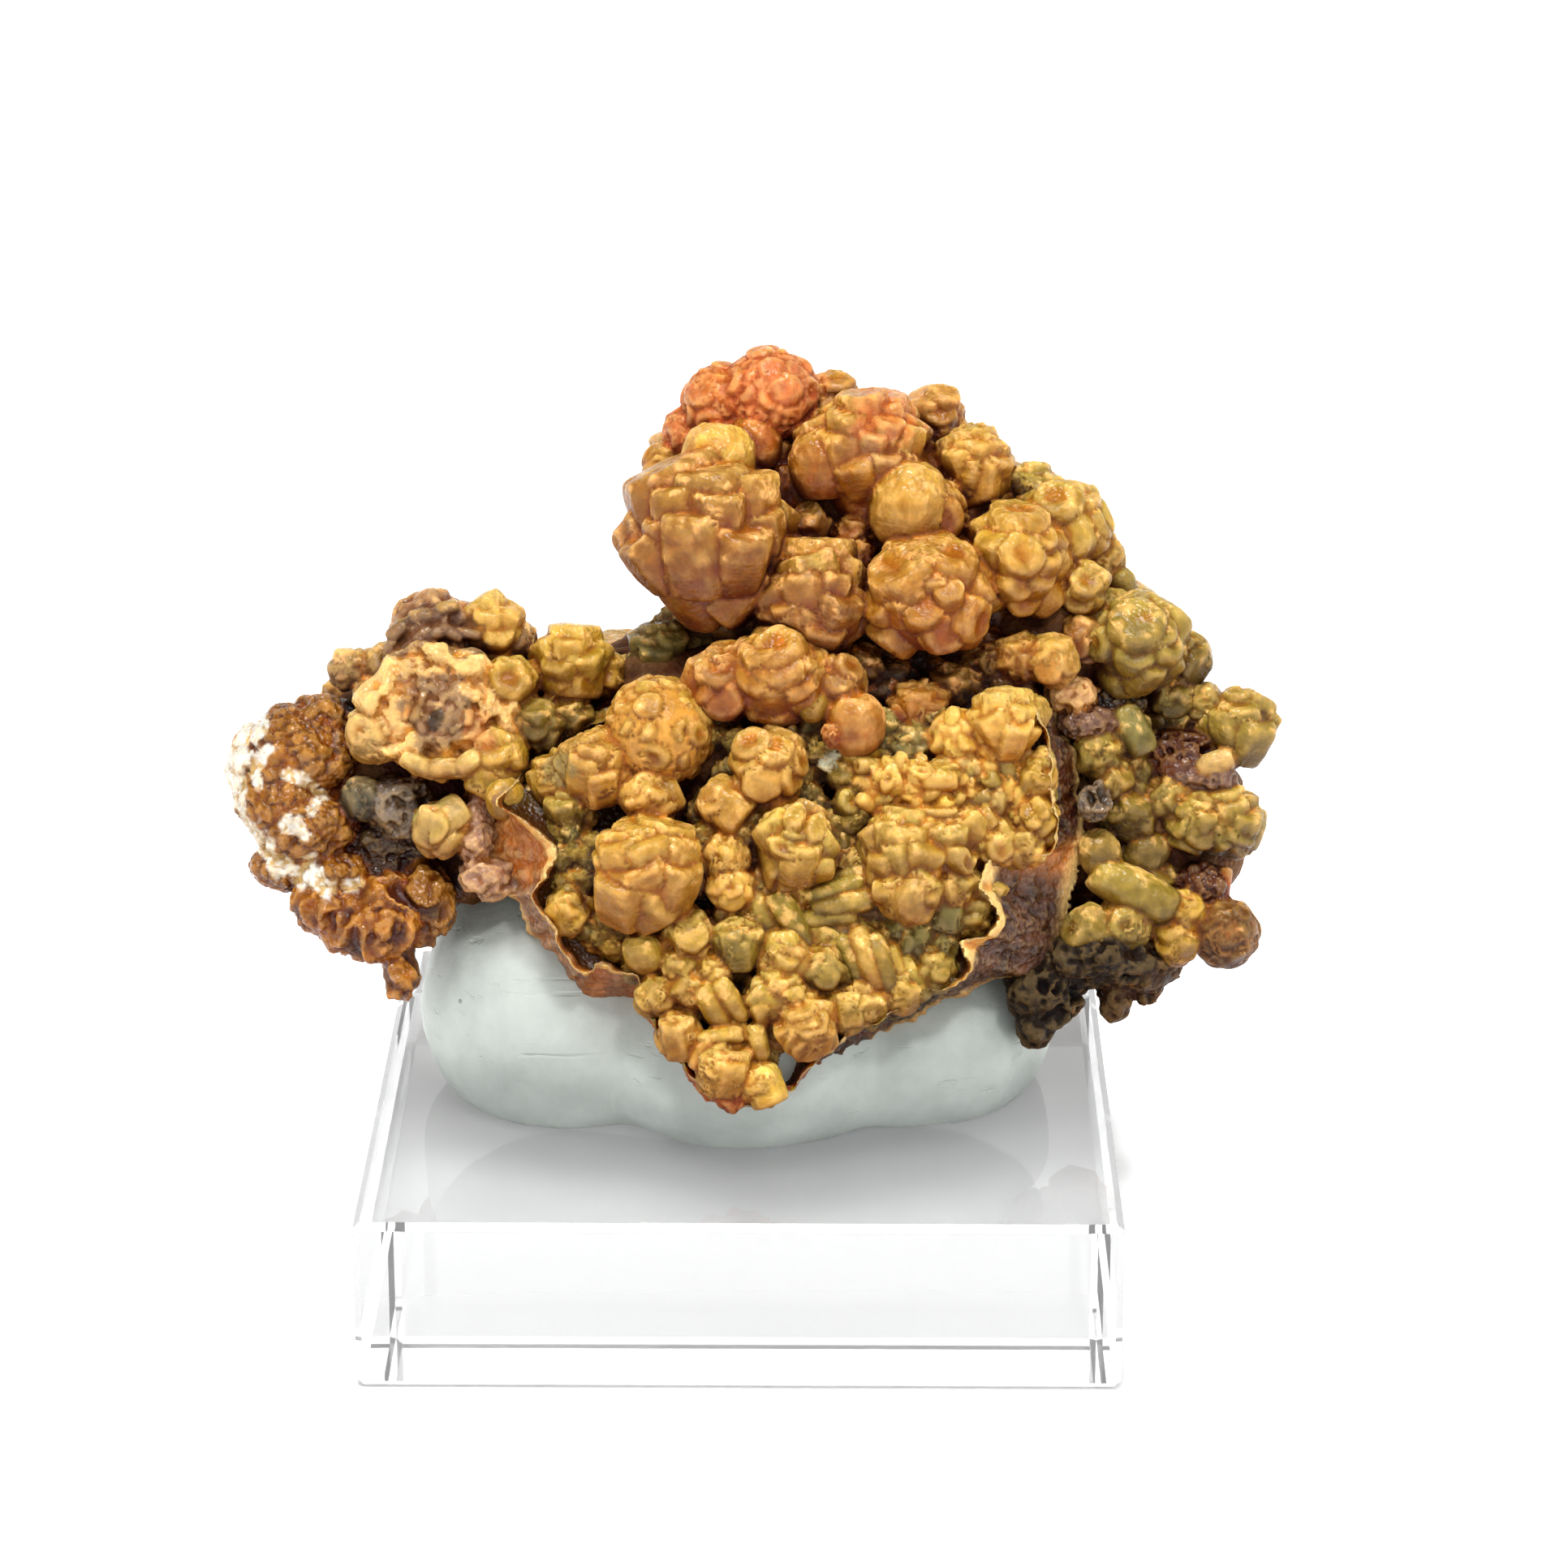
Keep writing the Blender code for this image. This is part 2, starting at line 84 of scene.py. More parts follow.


# Each tone: its colour on upper and open surfaces, and its darker colour in grooves and underneath, which is painted
# light and painted shade
TONES = {
    "honey": (srgb(206, 142, 48), srgb(142, 70, 3)),
    "brown": (srgb(188, 128, 48), srgb(126, 58, 3)),
    "amber": (srgb(198, 124, 28), srgb(138, 60, 2)),
    "orange": (srgb(200, 108, 16), srgb(150, 58, 2)),
    "pink": (srgb(216, 124, 66), srgb(180, 78, 22)),
    "peach": (srgb(224, 168, 78), srgb(164, 98, 16)),
    "gold": (srgb(220, 162, 64), srgb(150, 88, 10)),
    "straw": (srgb(216, 170, 76), srgb(142, 90, 12)),
    "butter": (srgb(246, 196, 98), srgb(186, 120, 26)),
    "lemon": (srgb(210, 160, 50), srgb(144, 90, 5)),
    "olive": (srgb(190, 152, 64), srgb(104, 74, 8)),
    "moss": (srgb(156, 122, 44), srgb(70, 46, 4)),
    "sage": (srgb(158, 138, 78), srgb(80, 60, 18)),
    "rust": (srgb(148, 90, 18), srgb(62, 28, 2)),
    "ember": (srgb(166, 98, 14), srgb(76, 34, 2)),
    "tan": (srgb(202, 152, 100), srgb(100, 56, 26)),
    "cream": (srgb(234, 192, 120), srgb(150, 96, 40)),
    "chalk": (srgb(232, 230, 222), srgb(176, 164, 148)),
    "ash": (srgb(120, 104, 90), srgb(36, 26, 20)),
    "umber": (srgb(64, 42, 26), srgb(14, 8, 4)),
    "coal": (srgb(42, 33, 27), srgb(8, 6, 4)),
    "plum": (srgb(114, 80, 64), srgb(50, 30, 24)),
    "flesh": (srgb(208, 140, 78), srgb(146, 90, 52)),
    "clay": (srgb(182, 138, 108), srgb(112, 76, 58)),
    "wine": (srgb(96, 50, 28), srgb(36, 14, 7)),
}

# How a group's crystals are shaped: the sharpness of their edges, how closely they fit, their length and depth
# against their width, how tilted they are, how far they turn upright, how unequal they reach, and the core's size
Habit = namedtuple("Habit", "power fit length flat tilt upright spread core")
HABITS = {
    "block": Habit(12.0, 1.20, 1.00, 1.00, 0.12, 0.62, 0.20, 0.74),
    "pillow": Habit(7.0, 1.20, 1.00, 1.00, 0.18, 0.36, 0.18, 0.74),
    "petal": Habit(8.0, 1.12, 1.25, 0.55, 0.25, 0.45, 0.24, 0.70),
    "rough": Habit(5.5, 1.30, 1.00, 1.00, 0.35, 0.10, 0.10, 0.80),
    "crust": Habit(5.0, 1.25, 0.90, 1.00, 0.35, 0.10, 0.05, 0.93),
    "smooth": None,
}
CRUSTED = 0.9
SMOOTH_POWER = 2.5
ROD_POWER = 5.0
STEP_SHARE = 0.022
LINE_SPACING = 0.28
GROUP_SWELL = 1.10
FACING_LIMIT = -0.35
PACK_ROUNDS = 10
PACK_LIMITS = (0.75, 1.45)
PLACED_LIMITS = (0.92, 1.12)
# The pale colour of painted highlights on upper ledges and edges
PAINTED_HIGHLIGHT = srgb(250, 206, 124)
# The near-white colour of painted glints
PAINTED_GLINT = srgb(255, 222, 164)
GLAZE = np.array((0.79, 0.86, 0.69))
HOLLOW_SHARE = 0.4
HOLLOW_DEPTH = 0.16

Ball = namedtuple("Ball", "u v depth radius tone habit count ends", defaults=("block", 24, ()))
Rod = namedtuple("Rod", "u v depth length width thick angle lean tone")
Lump = namedtuple("Lump", "u v depth across thick up tone grain")
Patch = namedtuple("Patch", "path depth radius tone amount")
Rim = namedtuple("Rim", "path depth width tone")

UPPER = (
    Ball(948, 492, 11.0, 60, "pink", "crust", 44),
    Ball(890, 500, 11.4, 50, "pink", "crust", 40),
    Ball(930, 548, 9.8, 34, "orange", "smooth", 12),
    Ball(850, 535, 12.0, 34, "pink", "crust", 26),
    Ball(818, 575, 12.2, 27, "honey", "rough", 14),
    Ball(880, 662, 8.4, 114, "brown", "block", 18, (
        (872, 592, 46), (818, 618, 32), (948, 606, 34), (885, 634, 30), (786, 700, 28), (853, 694, 44),
        (924, 700, 36), (800, 660, 20), (848, 765, 44), (920, 765, 34), (965, 655, 22))),
    Ball(884, 572, 8.6, 48, "butter", "smooth", 12),
    Ball(1068, 558, 9.4, 84, "honey", "block", 20, (
        (1062, 496, 26), (1105, 508, 24), (1130, 552, 24), (1035, 520, 24), (1076, 545, 18), (1012, 572, 34),
        (1050, 606, 32), (1094, 590, 22), (1032, 642, 28), (1096, 530, 18))),
    Ball(1012, 575, 8.4, 42, "amber", "smooth", 12),
    Ball(1196, 572, 10.0, 54, "gold", "block", 12, ((1206, 556, 30), (1168, 575, 18), (1196, 602, 20))),
    Ball(1120, 626, 7.6, 52, "gold", "smooth", 12),
    Ball(1140, 636, 8.2, 50, "honey", "rough", 14),
    Ball(1003, 738, 7.6, 78, "brown", "block", 14, (
        (1004, 694, 36), (984, 732, 34), (1044, 772, 32), (962, 770, 22), (1032, 720, 24))),
    Ball(1142, 736, 7.0, 82, "honey", "pillow", 20, (
        (1096, 708, 40), (1180, 684, 34), (1138, 690, 20), (1172, 738, 17), (1216, 732, 18), (1130, 772, 23),
        (1202, 772, 28), (1164, 800, 26), (1150, 716, 18), (1096, 752, 22))),
    Ball(1248, 690, 8.4, 76, "gold", "pillow", 22, (
        (1206, 634, 26), (1258, 640, 36), (1288, 664, 20), (1216, 680, 22), (1252, 690, 26), (1244, 732, 20),
        (1280, 738, 22), (1262, 764, 18), (1296, 702, 18))),
    Ball(1308, 652, 10.8, 64, "straw", "pillow", 16),
    Ball(1332, 728, 9.2, 36, "straw", "pillow", 12, ((1336, 722), (1318, 758))),
    Ball(1352, 690, 11.6, 34, "straw", "pillow", 14),
    Ball(1380, 720, 11.6, 20, "olive", "smooth", 10),
    Ball(1400, 800, 9.8, 68, "olive", "pillow", 20, (
        (1390, 772, 34), (1428, 782, 24), (1348, 794, 18), (1386, 822, 24), (1408, 848, 22), (1440, 806, 20),
        (1420, 750, 22))),
    Ball(1456, 812, 11.4, 36, "moss", "pillow", 14),
    Ball(1442, 858, 11.0, 30, "moss", "pillow", 12),
    Ball(1478, 872, 11.4, 26, "olive", "pillow", 12),
    Ball(1052, 658, 9.0, 24, "amber", "block", 10),
)

# Groups deeper in, which fill the gaps between those in front. The wine and rust ones are dark as painted shade deep
# in the gaps
FILLERS = (
    Ball(985, 610, 11.4, 58, "amber", "block", 18),
    Ball(975, 680, 11.0, 52, "rust", "block", 16),
    Ball(1062, 668, 10.6, 56, "amber", "block", 18),
    Ball(1072, 760, 10.4, 56, "wine", "pillow", 18),
    Ball(1195, 636, 11.2, 54, "brown", "pillow", 18),
    Ball(1150, 520, 12.6, 44, "honey", "pillow", 16),
    Ball(1236, 610, 12.6, 46, "brown", "pillow", 16),
    Ball(1020, 500, 12.4, 46, "amber", "pillow", 16),
    Ball(960, 560, 11.8, 44, "amber", "block", 14),
    Ball(1280, 770, 11.2, 56, "rust", "pillow", 18),
    Ball(1340, 800, 12.2, 50, "moss", "pillow", 16),
    Ball(1360, 760, 12.4, 44, "moss", "pillow", 14),
    Ball(1210, 790, 11.2, 58, "rust", "pillow", 18),
    Ball(930, 770, 11.4, 56, "rust", "block", 16),
    Ball(850, 790, 12.6, 50, "moss", "block", 14),
    Ball(1020, 830, 10.2, 52, "wine", "pillow", 16),
    Ball(1100, 860, 9.6, 46, "wine", "pillow", 16),
    Ball(1180, 868, 9.2, 44, "rust", "pillow", 16),
    Ball(880, 880, 9.2, 46, "moss", "pillow", 16),
    Ball(1240, 850, 9.6, 44, "rust", "pillow", 16),
    Ball(1430, 900, 13.0, 54, "moss", "pillow", 18),
    Ball(1340, 870, 11.4, 44, "moss", "pillow", 14),
    Ball(1052, 690, 8.8, 30, "amber", "block", 12),
    Ball(1168, 648, 9.4, 30, "brown", "block", 12),
    Ball(998, 650, 9.0, 26, "brown", "block", 10),
    Ball(1272, 610, 11.0, 40, "olive", "pillow", 16),
    Ball(1290, 700, 10.0, 36, "brown", "pillow", 14),
    Ball(1370, 760, 10.8, 36, "olive", "pillow", 14),
    Ball(1350, 760, 10.2, 34, "olive", "pillow", 14),
    Ball(1060, 820, 8.4, 30, "rust", "pillow", 10),
    Ball(1176, 850, 8.4, 34, "rust", "block", 12),
    Ball(1226, 820, 8.8, 30, "rust", "block", 12),
    Ball(1330, 790, 9.4, 34, "brown", "pillow", 12),
)

MIDDLE = (
    Ball(892, 842, 6.9, 54, "amber", "pillow", 14, ((880, 830), (905, 800), (900, 876))),
    Ball(958, 834, 6.4, 68, "honey", "pillow", 16, (
        (935, 800), (970, 796), (1000, 810), (930, 835), (968, 830), (948, 864), (990, 848))),
    Ball(1026, 846, 6.6, 42, "brown", "pillow", 12, ((1036, 846), (1010, 812))),
    Ball(1000, 868, 5.6, 22, "straw", "smooth", 8),
    Ball(1054, 893, 5.8, 38, "amber", "smooth", 8),
    Ball(1027, 906, 5.2, 17, "orange", "block", 8),
    Ball(1296, 816, 7.8, 36, "peach", "pillow", 12),
    Ball(1256, 812, 8.2, 32, "honey", "block", 12),
    # The wine and rust groups here sit deep under the upper groups and are dark as painted shade
    Ball(1092, 826, 10.4, 42, "wine", "pillow", 14),
    Ball(1150, 836, 10.6, 40, "wine", "pillow", 14),
    Ball(1208, 824, 9.8, 36, "rust", "pillow", 14),
    Ball(1134, 876, 7.6, 40, "amber", "block", 10, ((1128, 866), (1150, 890))),
    Ball(816, 806, 11.4, 44, "sage", "block", 14),
    Ball(775, 830, 11.6, 28, "moss", "block", 12),
    Ball(880, 905, 7.6, 26, "sage", "pillow", 10),
)

PLATE_LEFT = (
    Ball(812, 902, 6.8, 66, "gold", "crust", 60, ((800, 870), (840, 900), (800, 905), (845, 940))),
    Ball(736, 944, 6.6, 52, "gold", "block", 14, ((732, 928), (770, 930), (712, 958), (745, 984))),
    Ball(685, 962, 7.6, 36, "lemon", "block", 16),
    Ball(700, 1000, 7.2, 32, "olive", "block", 14),
    Ball(622, 984, 7.6, 26, "lemon", "smooth", 8),
    Ball(702, 1028, 6.8, 16, "sage", "rough", 12),
    Ball(945, 945, 5.8, 52, "peach", "pillow", 18, ((958, 925), (912, 942), (934, 976), (980, 968), (918, 912))),
    Ball(888, 996, 5.8, 35, "peach", "pillow", 8, ((874, 996), (906, 990))),
    Ball(800, 985, 6.0, 38, "peach", "pillow", 10, ((808, 972), (780, 992))),
    Ball(795, 1076, 5.4, 75, "gold", "block", 16, (
        (752, 1030), (792, 1014), (832, 1020), (802, 1050), (762, 1052), (846, 1052), (800, 1086),
        (740, 1082), (756, 1118), (800, 1130), (848, 1098))),
    Ball(896, 1058, 5.4, 30, "peach", "rough", 12),
    Ball(900, 1094, 5.4, 30, "butter", "rough", 14),
    Ball(978, 1042, 5.2, 56, "straw", "petal", 20, (
        (985, 1006), (952, 1022), (1014, 1022), (982, 1044), (1020, 1054), (988, 1074), (956, 1060),
        (962, 1090), (1004, 1088), (936, 1044))),
    Ball(948, 1010, 5.6, 14, "straw", "smooth", 6),
    Ball(698, 1126, 6.4, 27, "lemon", "pillow", 8),
    Ball(792, 1174, 5.6, 26, "straw", "smooth", 8),
    Ball(848, 1152, 5.6, 34, "straw", "pillow", 12),
    Ball(834, 1190, 5.5, 22, "straw", "pillow", 8),
    Ball(908, 1162, 5.4, 36, "olive", "block", 16),
    Ball(893, 1128, 5.8, 16, "olive", "smooth", 6),
    Ball(926, 1136, 5.6, 14, "olive", "smooth", 6),
    Ball(968, 1184, 5.5, 36, "straw", "pillow", 14),
    Ball(1012, 1196, 5.7, 34, "olive", "pillow", 14),
    Ball(958, 1232, 5.2, 40, "straw", "petal", 14),
    Ball(992, 1266, 5.0, 42, "peach", "block", 12, ((985, 1250), (1005, 1276), (968, 1284))),
    Ball(1042, 1246, 5.6, 30, "straw", "block", 10),
    Ball(806, 1228, 5.7, 26, "straw", "pillow", 10),
    Ball(850, 1220, 5.5, 26, "straw", "pillow", 10),
    Ball(880, 1198, 5.5, 24, "straw", "pillow", 10),
    Ball(890, 1318, 5.0, 38, "peach", "block", 10),
    Ball(838, 1275, 5.5, 30, "peach", "block", 10),
    Ball(938, 1336, 5.2, 28, "butter", "block", 10),
    Ball(900, 1345, 5.6, 26, "orange", "block", 10),
)

PLATE_LEFT_RODS = (
    Rod(975, 1135, 5.7, 44, 20, 22, 118, 10, "olive"),
    Rod(940, 1130, 5.8, 34, 15, 18, 112, 10, "olive"),
    Rod(878, 1242, 5.0, 34, 15, 16, 118, 20, "straw"),
    Rod(900, 1232, 5.0, 32, 14, 16, 124, 20, "straw"),
    Rod(934, 1284, 5.1, 24, 13, 14, 100, 10, "straw"),
    Rod(888, 1278, 4.9, 28, 12, 18, 8, 8, "straw"),
    Rod(866, 1296, 5.0, 26, 12, 18, 60, 8, "peach"),
)

PLATE_RIGHT = (
    Ball(1178, 912, 6.4, 36, "butter", "pillow", 14),
    Ball(1236, 892, 6.0, 50, "butter", "block", 18, ((1222, 866), (1262, 880), (1224, 902), (1248, 918))),
    Ball(1270, 880, 6.6, 26, "straw", "pillow", 12),
    Ball(1124, 920, 7.0, 30, "sage", "block", 10),
    Ball(1092, 905, 7.4, 22, "olive", "pillow", 8),
    Ball(1060, 936, 6.4, 24, "lemon", "pillow", 8),
    Ball(1040, 956, 6.4, 22, "olive", "pillow", 8),
    Ball(1068, 968, 6.2, 24, "olive", "pillow", 10),
    Ball(1044, 992, 6.2, 22, "olive", "pillow", 8),
    Ball(1024, 938, 6.6, 17, "chalk", "block", 6),
    Ball(1098, 964, 5.6, 30, "butter", "petal", 12),
    Ball(1132, 968, 5.6, 28, "butter", "petal", 12),
    Ball(1160, 962, 5.8, 26, "straw", "block", 10),
    Ball(1112, 1045, 5.2, 52, "straw", "block", 14),
    Ball(1116, 1098, 5.2, 42, "straw", "pillow", 10),
    Ball(1165, 1040, 5.6, 44, "straw", "petal", 18),
    Ball(1196, 1020, 5.8, 34, "straw", "petal", 14),
    Ball(1176, 1090, 6.0, 32, "straw", "block", 12),
    Ball(1166, 1124, 6.4, 30, "sage", "block", 12),
    Ball(1194, 1128, 6.8, 32, "olive", "pillow", 14),
    Ball(1214, 1096, 6.6, 26, "straw", "block", 10),
    Ball(1225, 1040, 6.0, 32, "straw", "pillow", 14),
    Ball(1274, 960, 6.2, 30, "lemon", "rough", 16),
    Ball(1276, 1010, 6.0, 30, "lemon", "rough", 16),
    Ball(1262, 1040, 6.0, 26, "straw", "block", 12),
    Ball(1128, 1162, 6.8, 36, "sage", "pillow", 14),
    Ball(1062, 1150, 6.8, 34, "moss", "pillow", 14),
    Ball(1040, 1045, 7.2, 34, "moss", "block", 12),
    Ball(1150, 1195, 6.4, 32, "olive", "pillow", 14),
    Ball(1065, 1235, 6.0, 30, "straw", "block", 12),
    Ball(1110, 1222, 5.9, 28, "straw", "block", 12),
)

PLATE_RIGHT_RODS = (
    Rod(1050, 1080, 6.3, 32, 17, 26, 22, 0, "olive"),
    Rod(1030, 1096, 6.1, 38, 17, 28, 17, 0, "olive"),
    Rod(1038, 1114, 5.9, 40, 18, 30, 12, 0, "olive"),
    Rod(1022, 1130, 6.1, 36, 17, 28, 6, 0, "olive"),
    Rod(1036, 1148, 6.4, 34, 17, 26, 0, 0, "moss"),
    Rod(1048, 1180, 6.1, 36, 17, 24, 114, 0, "olive"),
    Rod(1068, 1182, 5.8, 42, 17, 26, 110, 0, "straw"),
    Rod(1088, 1188, 5.8, 40, 17, 26, 112, 0, "olive"),
    Rod(1107, 1198, 6.0, 36, 16, 24, 116, 0, "straw"),
    Rod(1125, 1206, 6.0, 32, 14, 22, 118, 0, "olive"),
    Rod(1106, 1040, 4.7, 42, 23, 24, 92, 0, "straw"),
    Rod(1146, 1046, 4.8, 40, 13, 18, 94, 0, "butter"),
    Rod(1116, 1100, 4.9, 44, 20, 26, -6, 0, "straw"),
    Rod(1080, 1058, 5.2, 36, 12, 20, 84, 0, "straw"),
    Rod(1104, 950, 5.2, 24, 9, 14, 70, 0, "butter"),
    Rod(1158, 964, 5.0, 22, 14, 16, 2, 0, "butter"),
    Rod(1150, 1004, 5.0, 30, 9, 16, 2, 0, "straw"),
    Rod(1186, 1012, 5.2, 28, 9, 14, -16, 0, "straw"),
    Rod(1214, 1030, 5.4, 26, 9, 14, -24, 0, "butter"),
    Rod(1168, 1080, 5.4, 26, 9, 14, 78, 0, "butter"),
    Rod(1182, 1062, 5.4, 30, 9, 14, 66, 0, "straw"),
    Rod(1172, 905, 5.8, 34, 12, 16, 84, 0, "butter"),
    Rod(1190, 916, 5.9, 32, 11, 16, 98, 0, "straw"),
    Rod(1124, 880, 7.2, 30, 18, 20, -10, 0, "amber"),
)

LEFT = (
    Ball(605, 775, 10.4, 44, "butter", "pillow", 14, ((598, 760), (620, 800), (580, 796))),
    Ball(640, 790, 10.8, 26, "tan", "rough", 12),
    Ball(706, 816, 9.4, 48, "lemon", "block", 14, ((700, 800), (735, 826), (690, 842))),
    Ball(744, 832, 10.2, 28, "lemon", "block", 10),
    Ball(664, 896, 9.0, 38, "moss", "pillow", 14),
    Ball(704, 886, 9.4, 30, "moss", "block", 12),
    Ball(628, 842, 9.0, 38, "lemon", "pillow", 12),
    Ball(612, 932, 8.0, 36, "lemon", "pillow", 12),
    Ball(464, 904, 8.8, 38, "cream", "crust", 20),
    Ball(432, 828, 10.6, 30, "tan", "pillow", 12),
    Ball(460, 858, 10.2, 28, "tan", "pillow", 12),
    Ball(474, 822, 10.6, 30, "tan", "rough", 12),
    Ball(447, 985, 9.4, 28, "ash", "rough", 18),
    Ball(545, 1018, 8.6, 38, "cream", "petal", 20),
    Ball(600, 960, 8.0, 26, "lemon", "rough", 10),
)

LEFT_LUMPS = (
    Lump(535, 782, 10.4, 56, 50, 50, "tan", "ruffle"),
    Lump(545, 880, 8.6, 92, 46, 86, "cream", "broken"),
    Lump(372, 932, 11.0, 72, 60, 62, "rust", "druse"),
    Lump(346, 985, 10.8, 60, 58, 62, "rust", "druse"),
    Lump(384, 1020, 10.6, 66, 56, 50, "rust", "druse"),
    Lump(400, 890, 11.4, 44, 50, 34, "rust", "druse"),
    Lump(306, 950, 11.4, 27, 44, 50, "rust", "druse"),
    Lump(352, 1068, 11.0, 46, 44, 32, "rust", "druse"),
    Lump(412, 1080, 10.6, 50, 44, 34, "rust", "druse"),
    Lump(410, 1118, 10.6, 52, 50, 40, "ember", "ruffle"),
    Lump(460, 1130, 10.0, 64, 56, 56, "ember", "ruffle"),
    Lump(525, 1112, 10.4, 38, 44, 50, "rust", "ruffle"),
    Lump(494, 1195, 10.6, 24, 30, 38, "ember", "ruffle"),
    Lump(492, 990, 10.0, 44, 40, 44, "ash", "sponge"),
    Lump(480, 1050, 11.4, 66, 44, 60, "umber", "sponge"),
    Lump(608, 1082, 9.2, 42, 36, 28, "clay", "ruffle"),
    Lump(588, 1020, 9.2, 24, 36, 64, "clay", "druse"),
    Lump(690, 850, 12.0, 70, 40, 60, "moss", "druse"),
)

# Thin cream ledges across broken faces
LEFT_RIMS = (
    Rim(((478, 800), (496, 772), (528, 758), (562, 752)), 8.9, 9, "tan"),
    Rim(((490, 812), (514, 788), (546, 778), (584, 786)), 8.7, 9, "tan"),
    Rim(((506, 936), (536, 948), (566, 944), (600, 932)), 7.4, 12, "cream"),
    Rim(((520, 906), (514, 884), (526, 858)), 7.3, 7, "tan"),
    Rim(((560, 905), (574, 890), (572, 866)), 7.3, 6, "cream"),
)

RIGHT = (
    Ball(1526, 896, 11.0, 48, "olive", "block", 14, ((1528, 882), (1496, 896), (1546, 930))),
    Ball(1480, 868, 11.4, 28, "olive", "pillow", 12),
    Ball(1514, 1012, 10.8, 46, "olive", "block", 14, ((1516, 1000), (1490, 1030), (1540, 1022))),
    Ball(1472, 1012, 10.4, 42, "olive", "pillow", 16),
    Ball(1440, 984, 10.4, 30, "olive", "pillow", 12),
    Ball(1392, 906, 10.2, 26, "sage", "block", 8),
    Ball(1352, 930, 9.6, 34, "olive", "pillow", 16),
    Ball(1368, 962, 9.8, 28, "olive", "pillow", 14),
    Ball(1398, 955, 11.0, 28, "moss", "pillow", 10),
    Ball(1388, 1002, 10.8, 42, "moss", "pillow", 14),
    Ball(1354, 1052, 9.4, 28, "olive", "smooth", 10),
    Ball(1410, 1052, 11.0, 32, "moss", "smooth", 12),
    Ball(1456, 1128, 9.8, 30, "lemon", "pillow", 12),
    Ball(1448, 1162, 9.8, 30, "lemon", "pillow", 12),
    Ball(1340, 1148, 9.0, 34, "olive", "rough", 14),
    Ball(1385, 1140, 9.6, 36, "olive", "rough", 14),
    Ball(1508, 1150, 10.4, 42, "rust", "crust", 30),
    Ball(1446, 890, 11.8, 30, "moss", "block", 14),
    Ball(1420, 1090, 11.2, 34, "moss", "pillow", 14),
)

RIGHT_RODS = (
    Rod(1396, 1098, 9.2, 58, 28, 30, -26, 0, "olive"),
    Rod(1506, 1090, 10.8, 22, 10, 12, 80, 0, "orange"),
    Rod(1496, 942, 9.8, 24, 16, 16, 20, 0, "cream"),
    Rod(1396, 900, 9.4, 34, 20, 20, 118, 0, "sage"),
)

RIGHT_LUMPS = (
    Lump(1320, 858, 8.8, 32, 30, 28, "tan", "sponge"),
    Lump(1338, 892, 9.2, 38, 32, 22, "plum", "sponge"),
    Lump(1372, 870, 10.4, 36, 34, 26, "umber", "druse"),
    Lump(1456, 934, 11.0, 46, 40, 36, "wine", "sponge"),
    Lump(1486, 958, 10.4, 44, 30, 22, "plum", "druse"),
    Lump(1480, 1088, 10.8, 36, 30, 26, "wine", "druse"),
    Lump(1350, 988, 8.4, 20, 22, 26, "ash", "sponge"),
    Lump(1420, 1010, 13.2, 80, 40, 90, "moss", "druse"),
    Lump(1408, 930, 13.0, 80, 40, 60, "umber", "sponge"),
)

MATRIX_LUMPS = (
    Lump(1345, 1180, 11.0, 96, 76, 42, "coal", "sponge"),
    Lump(1408, 1185, 11.4, 44, 60, 40, "umber", "sponge"),
    Lump(1285, 1215, 10.6, 50, 56, 52, "coal", "sponge"),
    Lump(1274, 1258, 10.8, 24, 36, 34, "coal", "sponge"),
    Lump(1372, 1222, 11.2, 24, 34, 34, "umber", "sponge"),
    Lump(1412, 1212, 11.4, 20, 30, 28, "umber", "sponge"),
    Lump(1436, 1190, 11.6, 18, 26, 22, "umber", "sponge"),
)

# The matrix behind the crystals, seen only in the gaps between the groups
INNER_LUMPS = (
    Lump(921, 961, 14.0, 300, 150, 190, "wine", "druse"),
    Lump(1046, 698, 13.4, 205, 105, 160, "wine", "druse"),
    Lump(1246, 836, 14.6, 190, 125, 180, "wine", "druse"),
    Lump(546, 973, 13.8, 215, 92, 145, "wine", "druse"),
    Lump(1371, 1023, 14.8, 150, 108, 150, "wine", "druse"),
    Lump(959, 1173, 15.6, 265, 145, 108, "wine", "druse"),
)

BACK = (
    Ball(896, 601, 14.6, 100, "honey", "block", 22),
    Ball(1064, 621, 15.4, 106, "honey", "pillow", 24),
    Ball(1224, 666, 15.6, 96, "olive", "pillow", 24),
    Ball(1354, 776, 16.2, 86, "olive", "pillow", 22),
    Ball(934, 786, 18.6, 110, "honey", "block", 24),
    Ball(1134, 811, 20.0, 116, "honey", "pillow", 28),
    Ball(1309, 936, 20.6, 106, "olive", "block", 26),
    Ball(1454, 996, 16.8, 82, "moss", "pillow", 22),
    Ball(754, 881, 18.4, 100, "honey", "pillow", 24),
    Ball(599, 886, 16.6, 86, "lemon", "pillow", 22),
    Ball(449, 971, 15.6, 86, "rust", "rough", 30),
    Ball(964, 1001, 21.8, 108, "peach", "pillow", 26),
    Ball(1149, 1041, 22.2, 98, "straw", "block", 24),
    Ball(779, 1066, 20.4, 96, "honey", "block", 24),
    Ball(589, 1076, 17.2, 84, "rust", "pillow", 24),
)

BACK_TRIES = 420
BACK_SIZES = (26, 50)
BACK_TONES = ("honey", "gold", "olive", "brown", "moss")

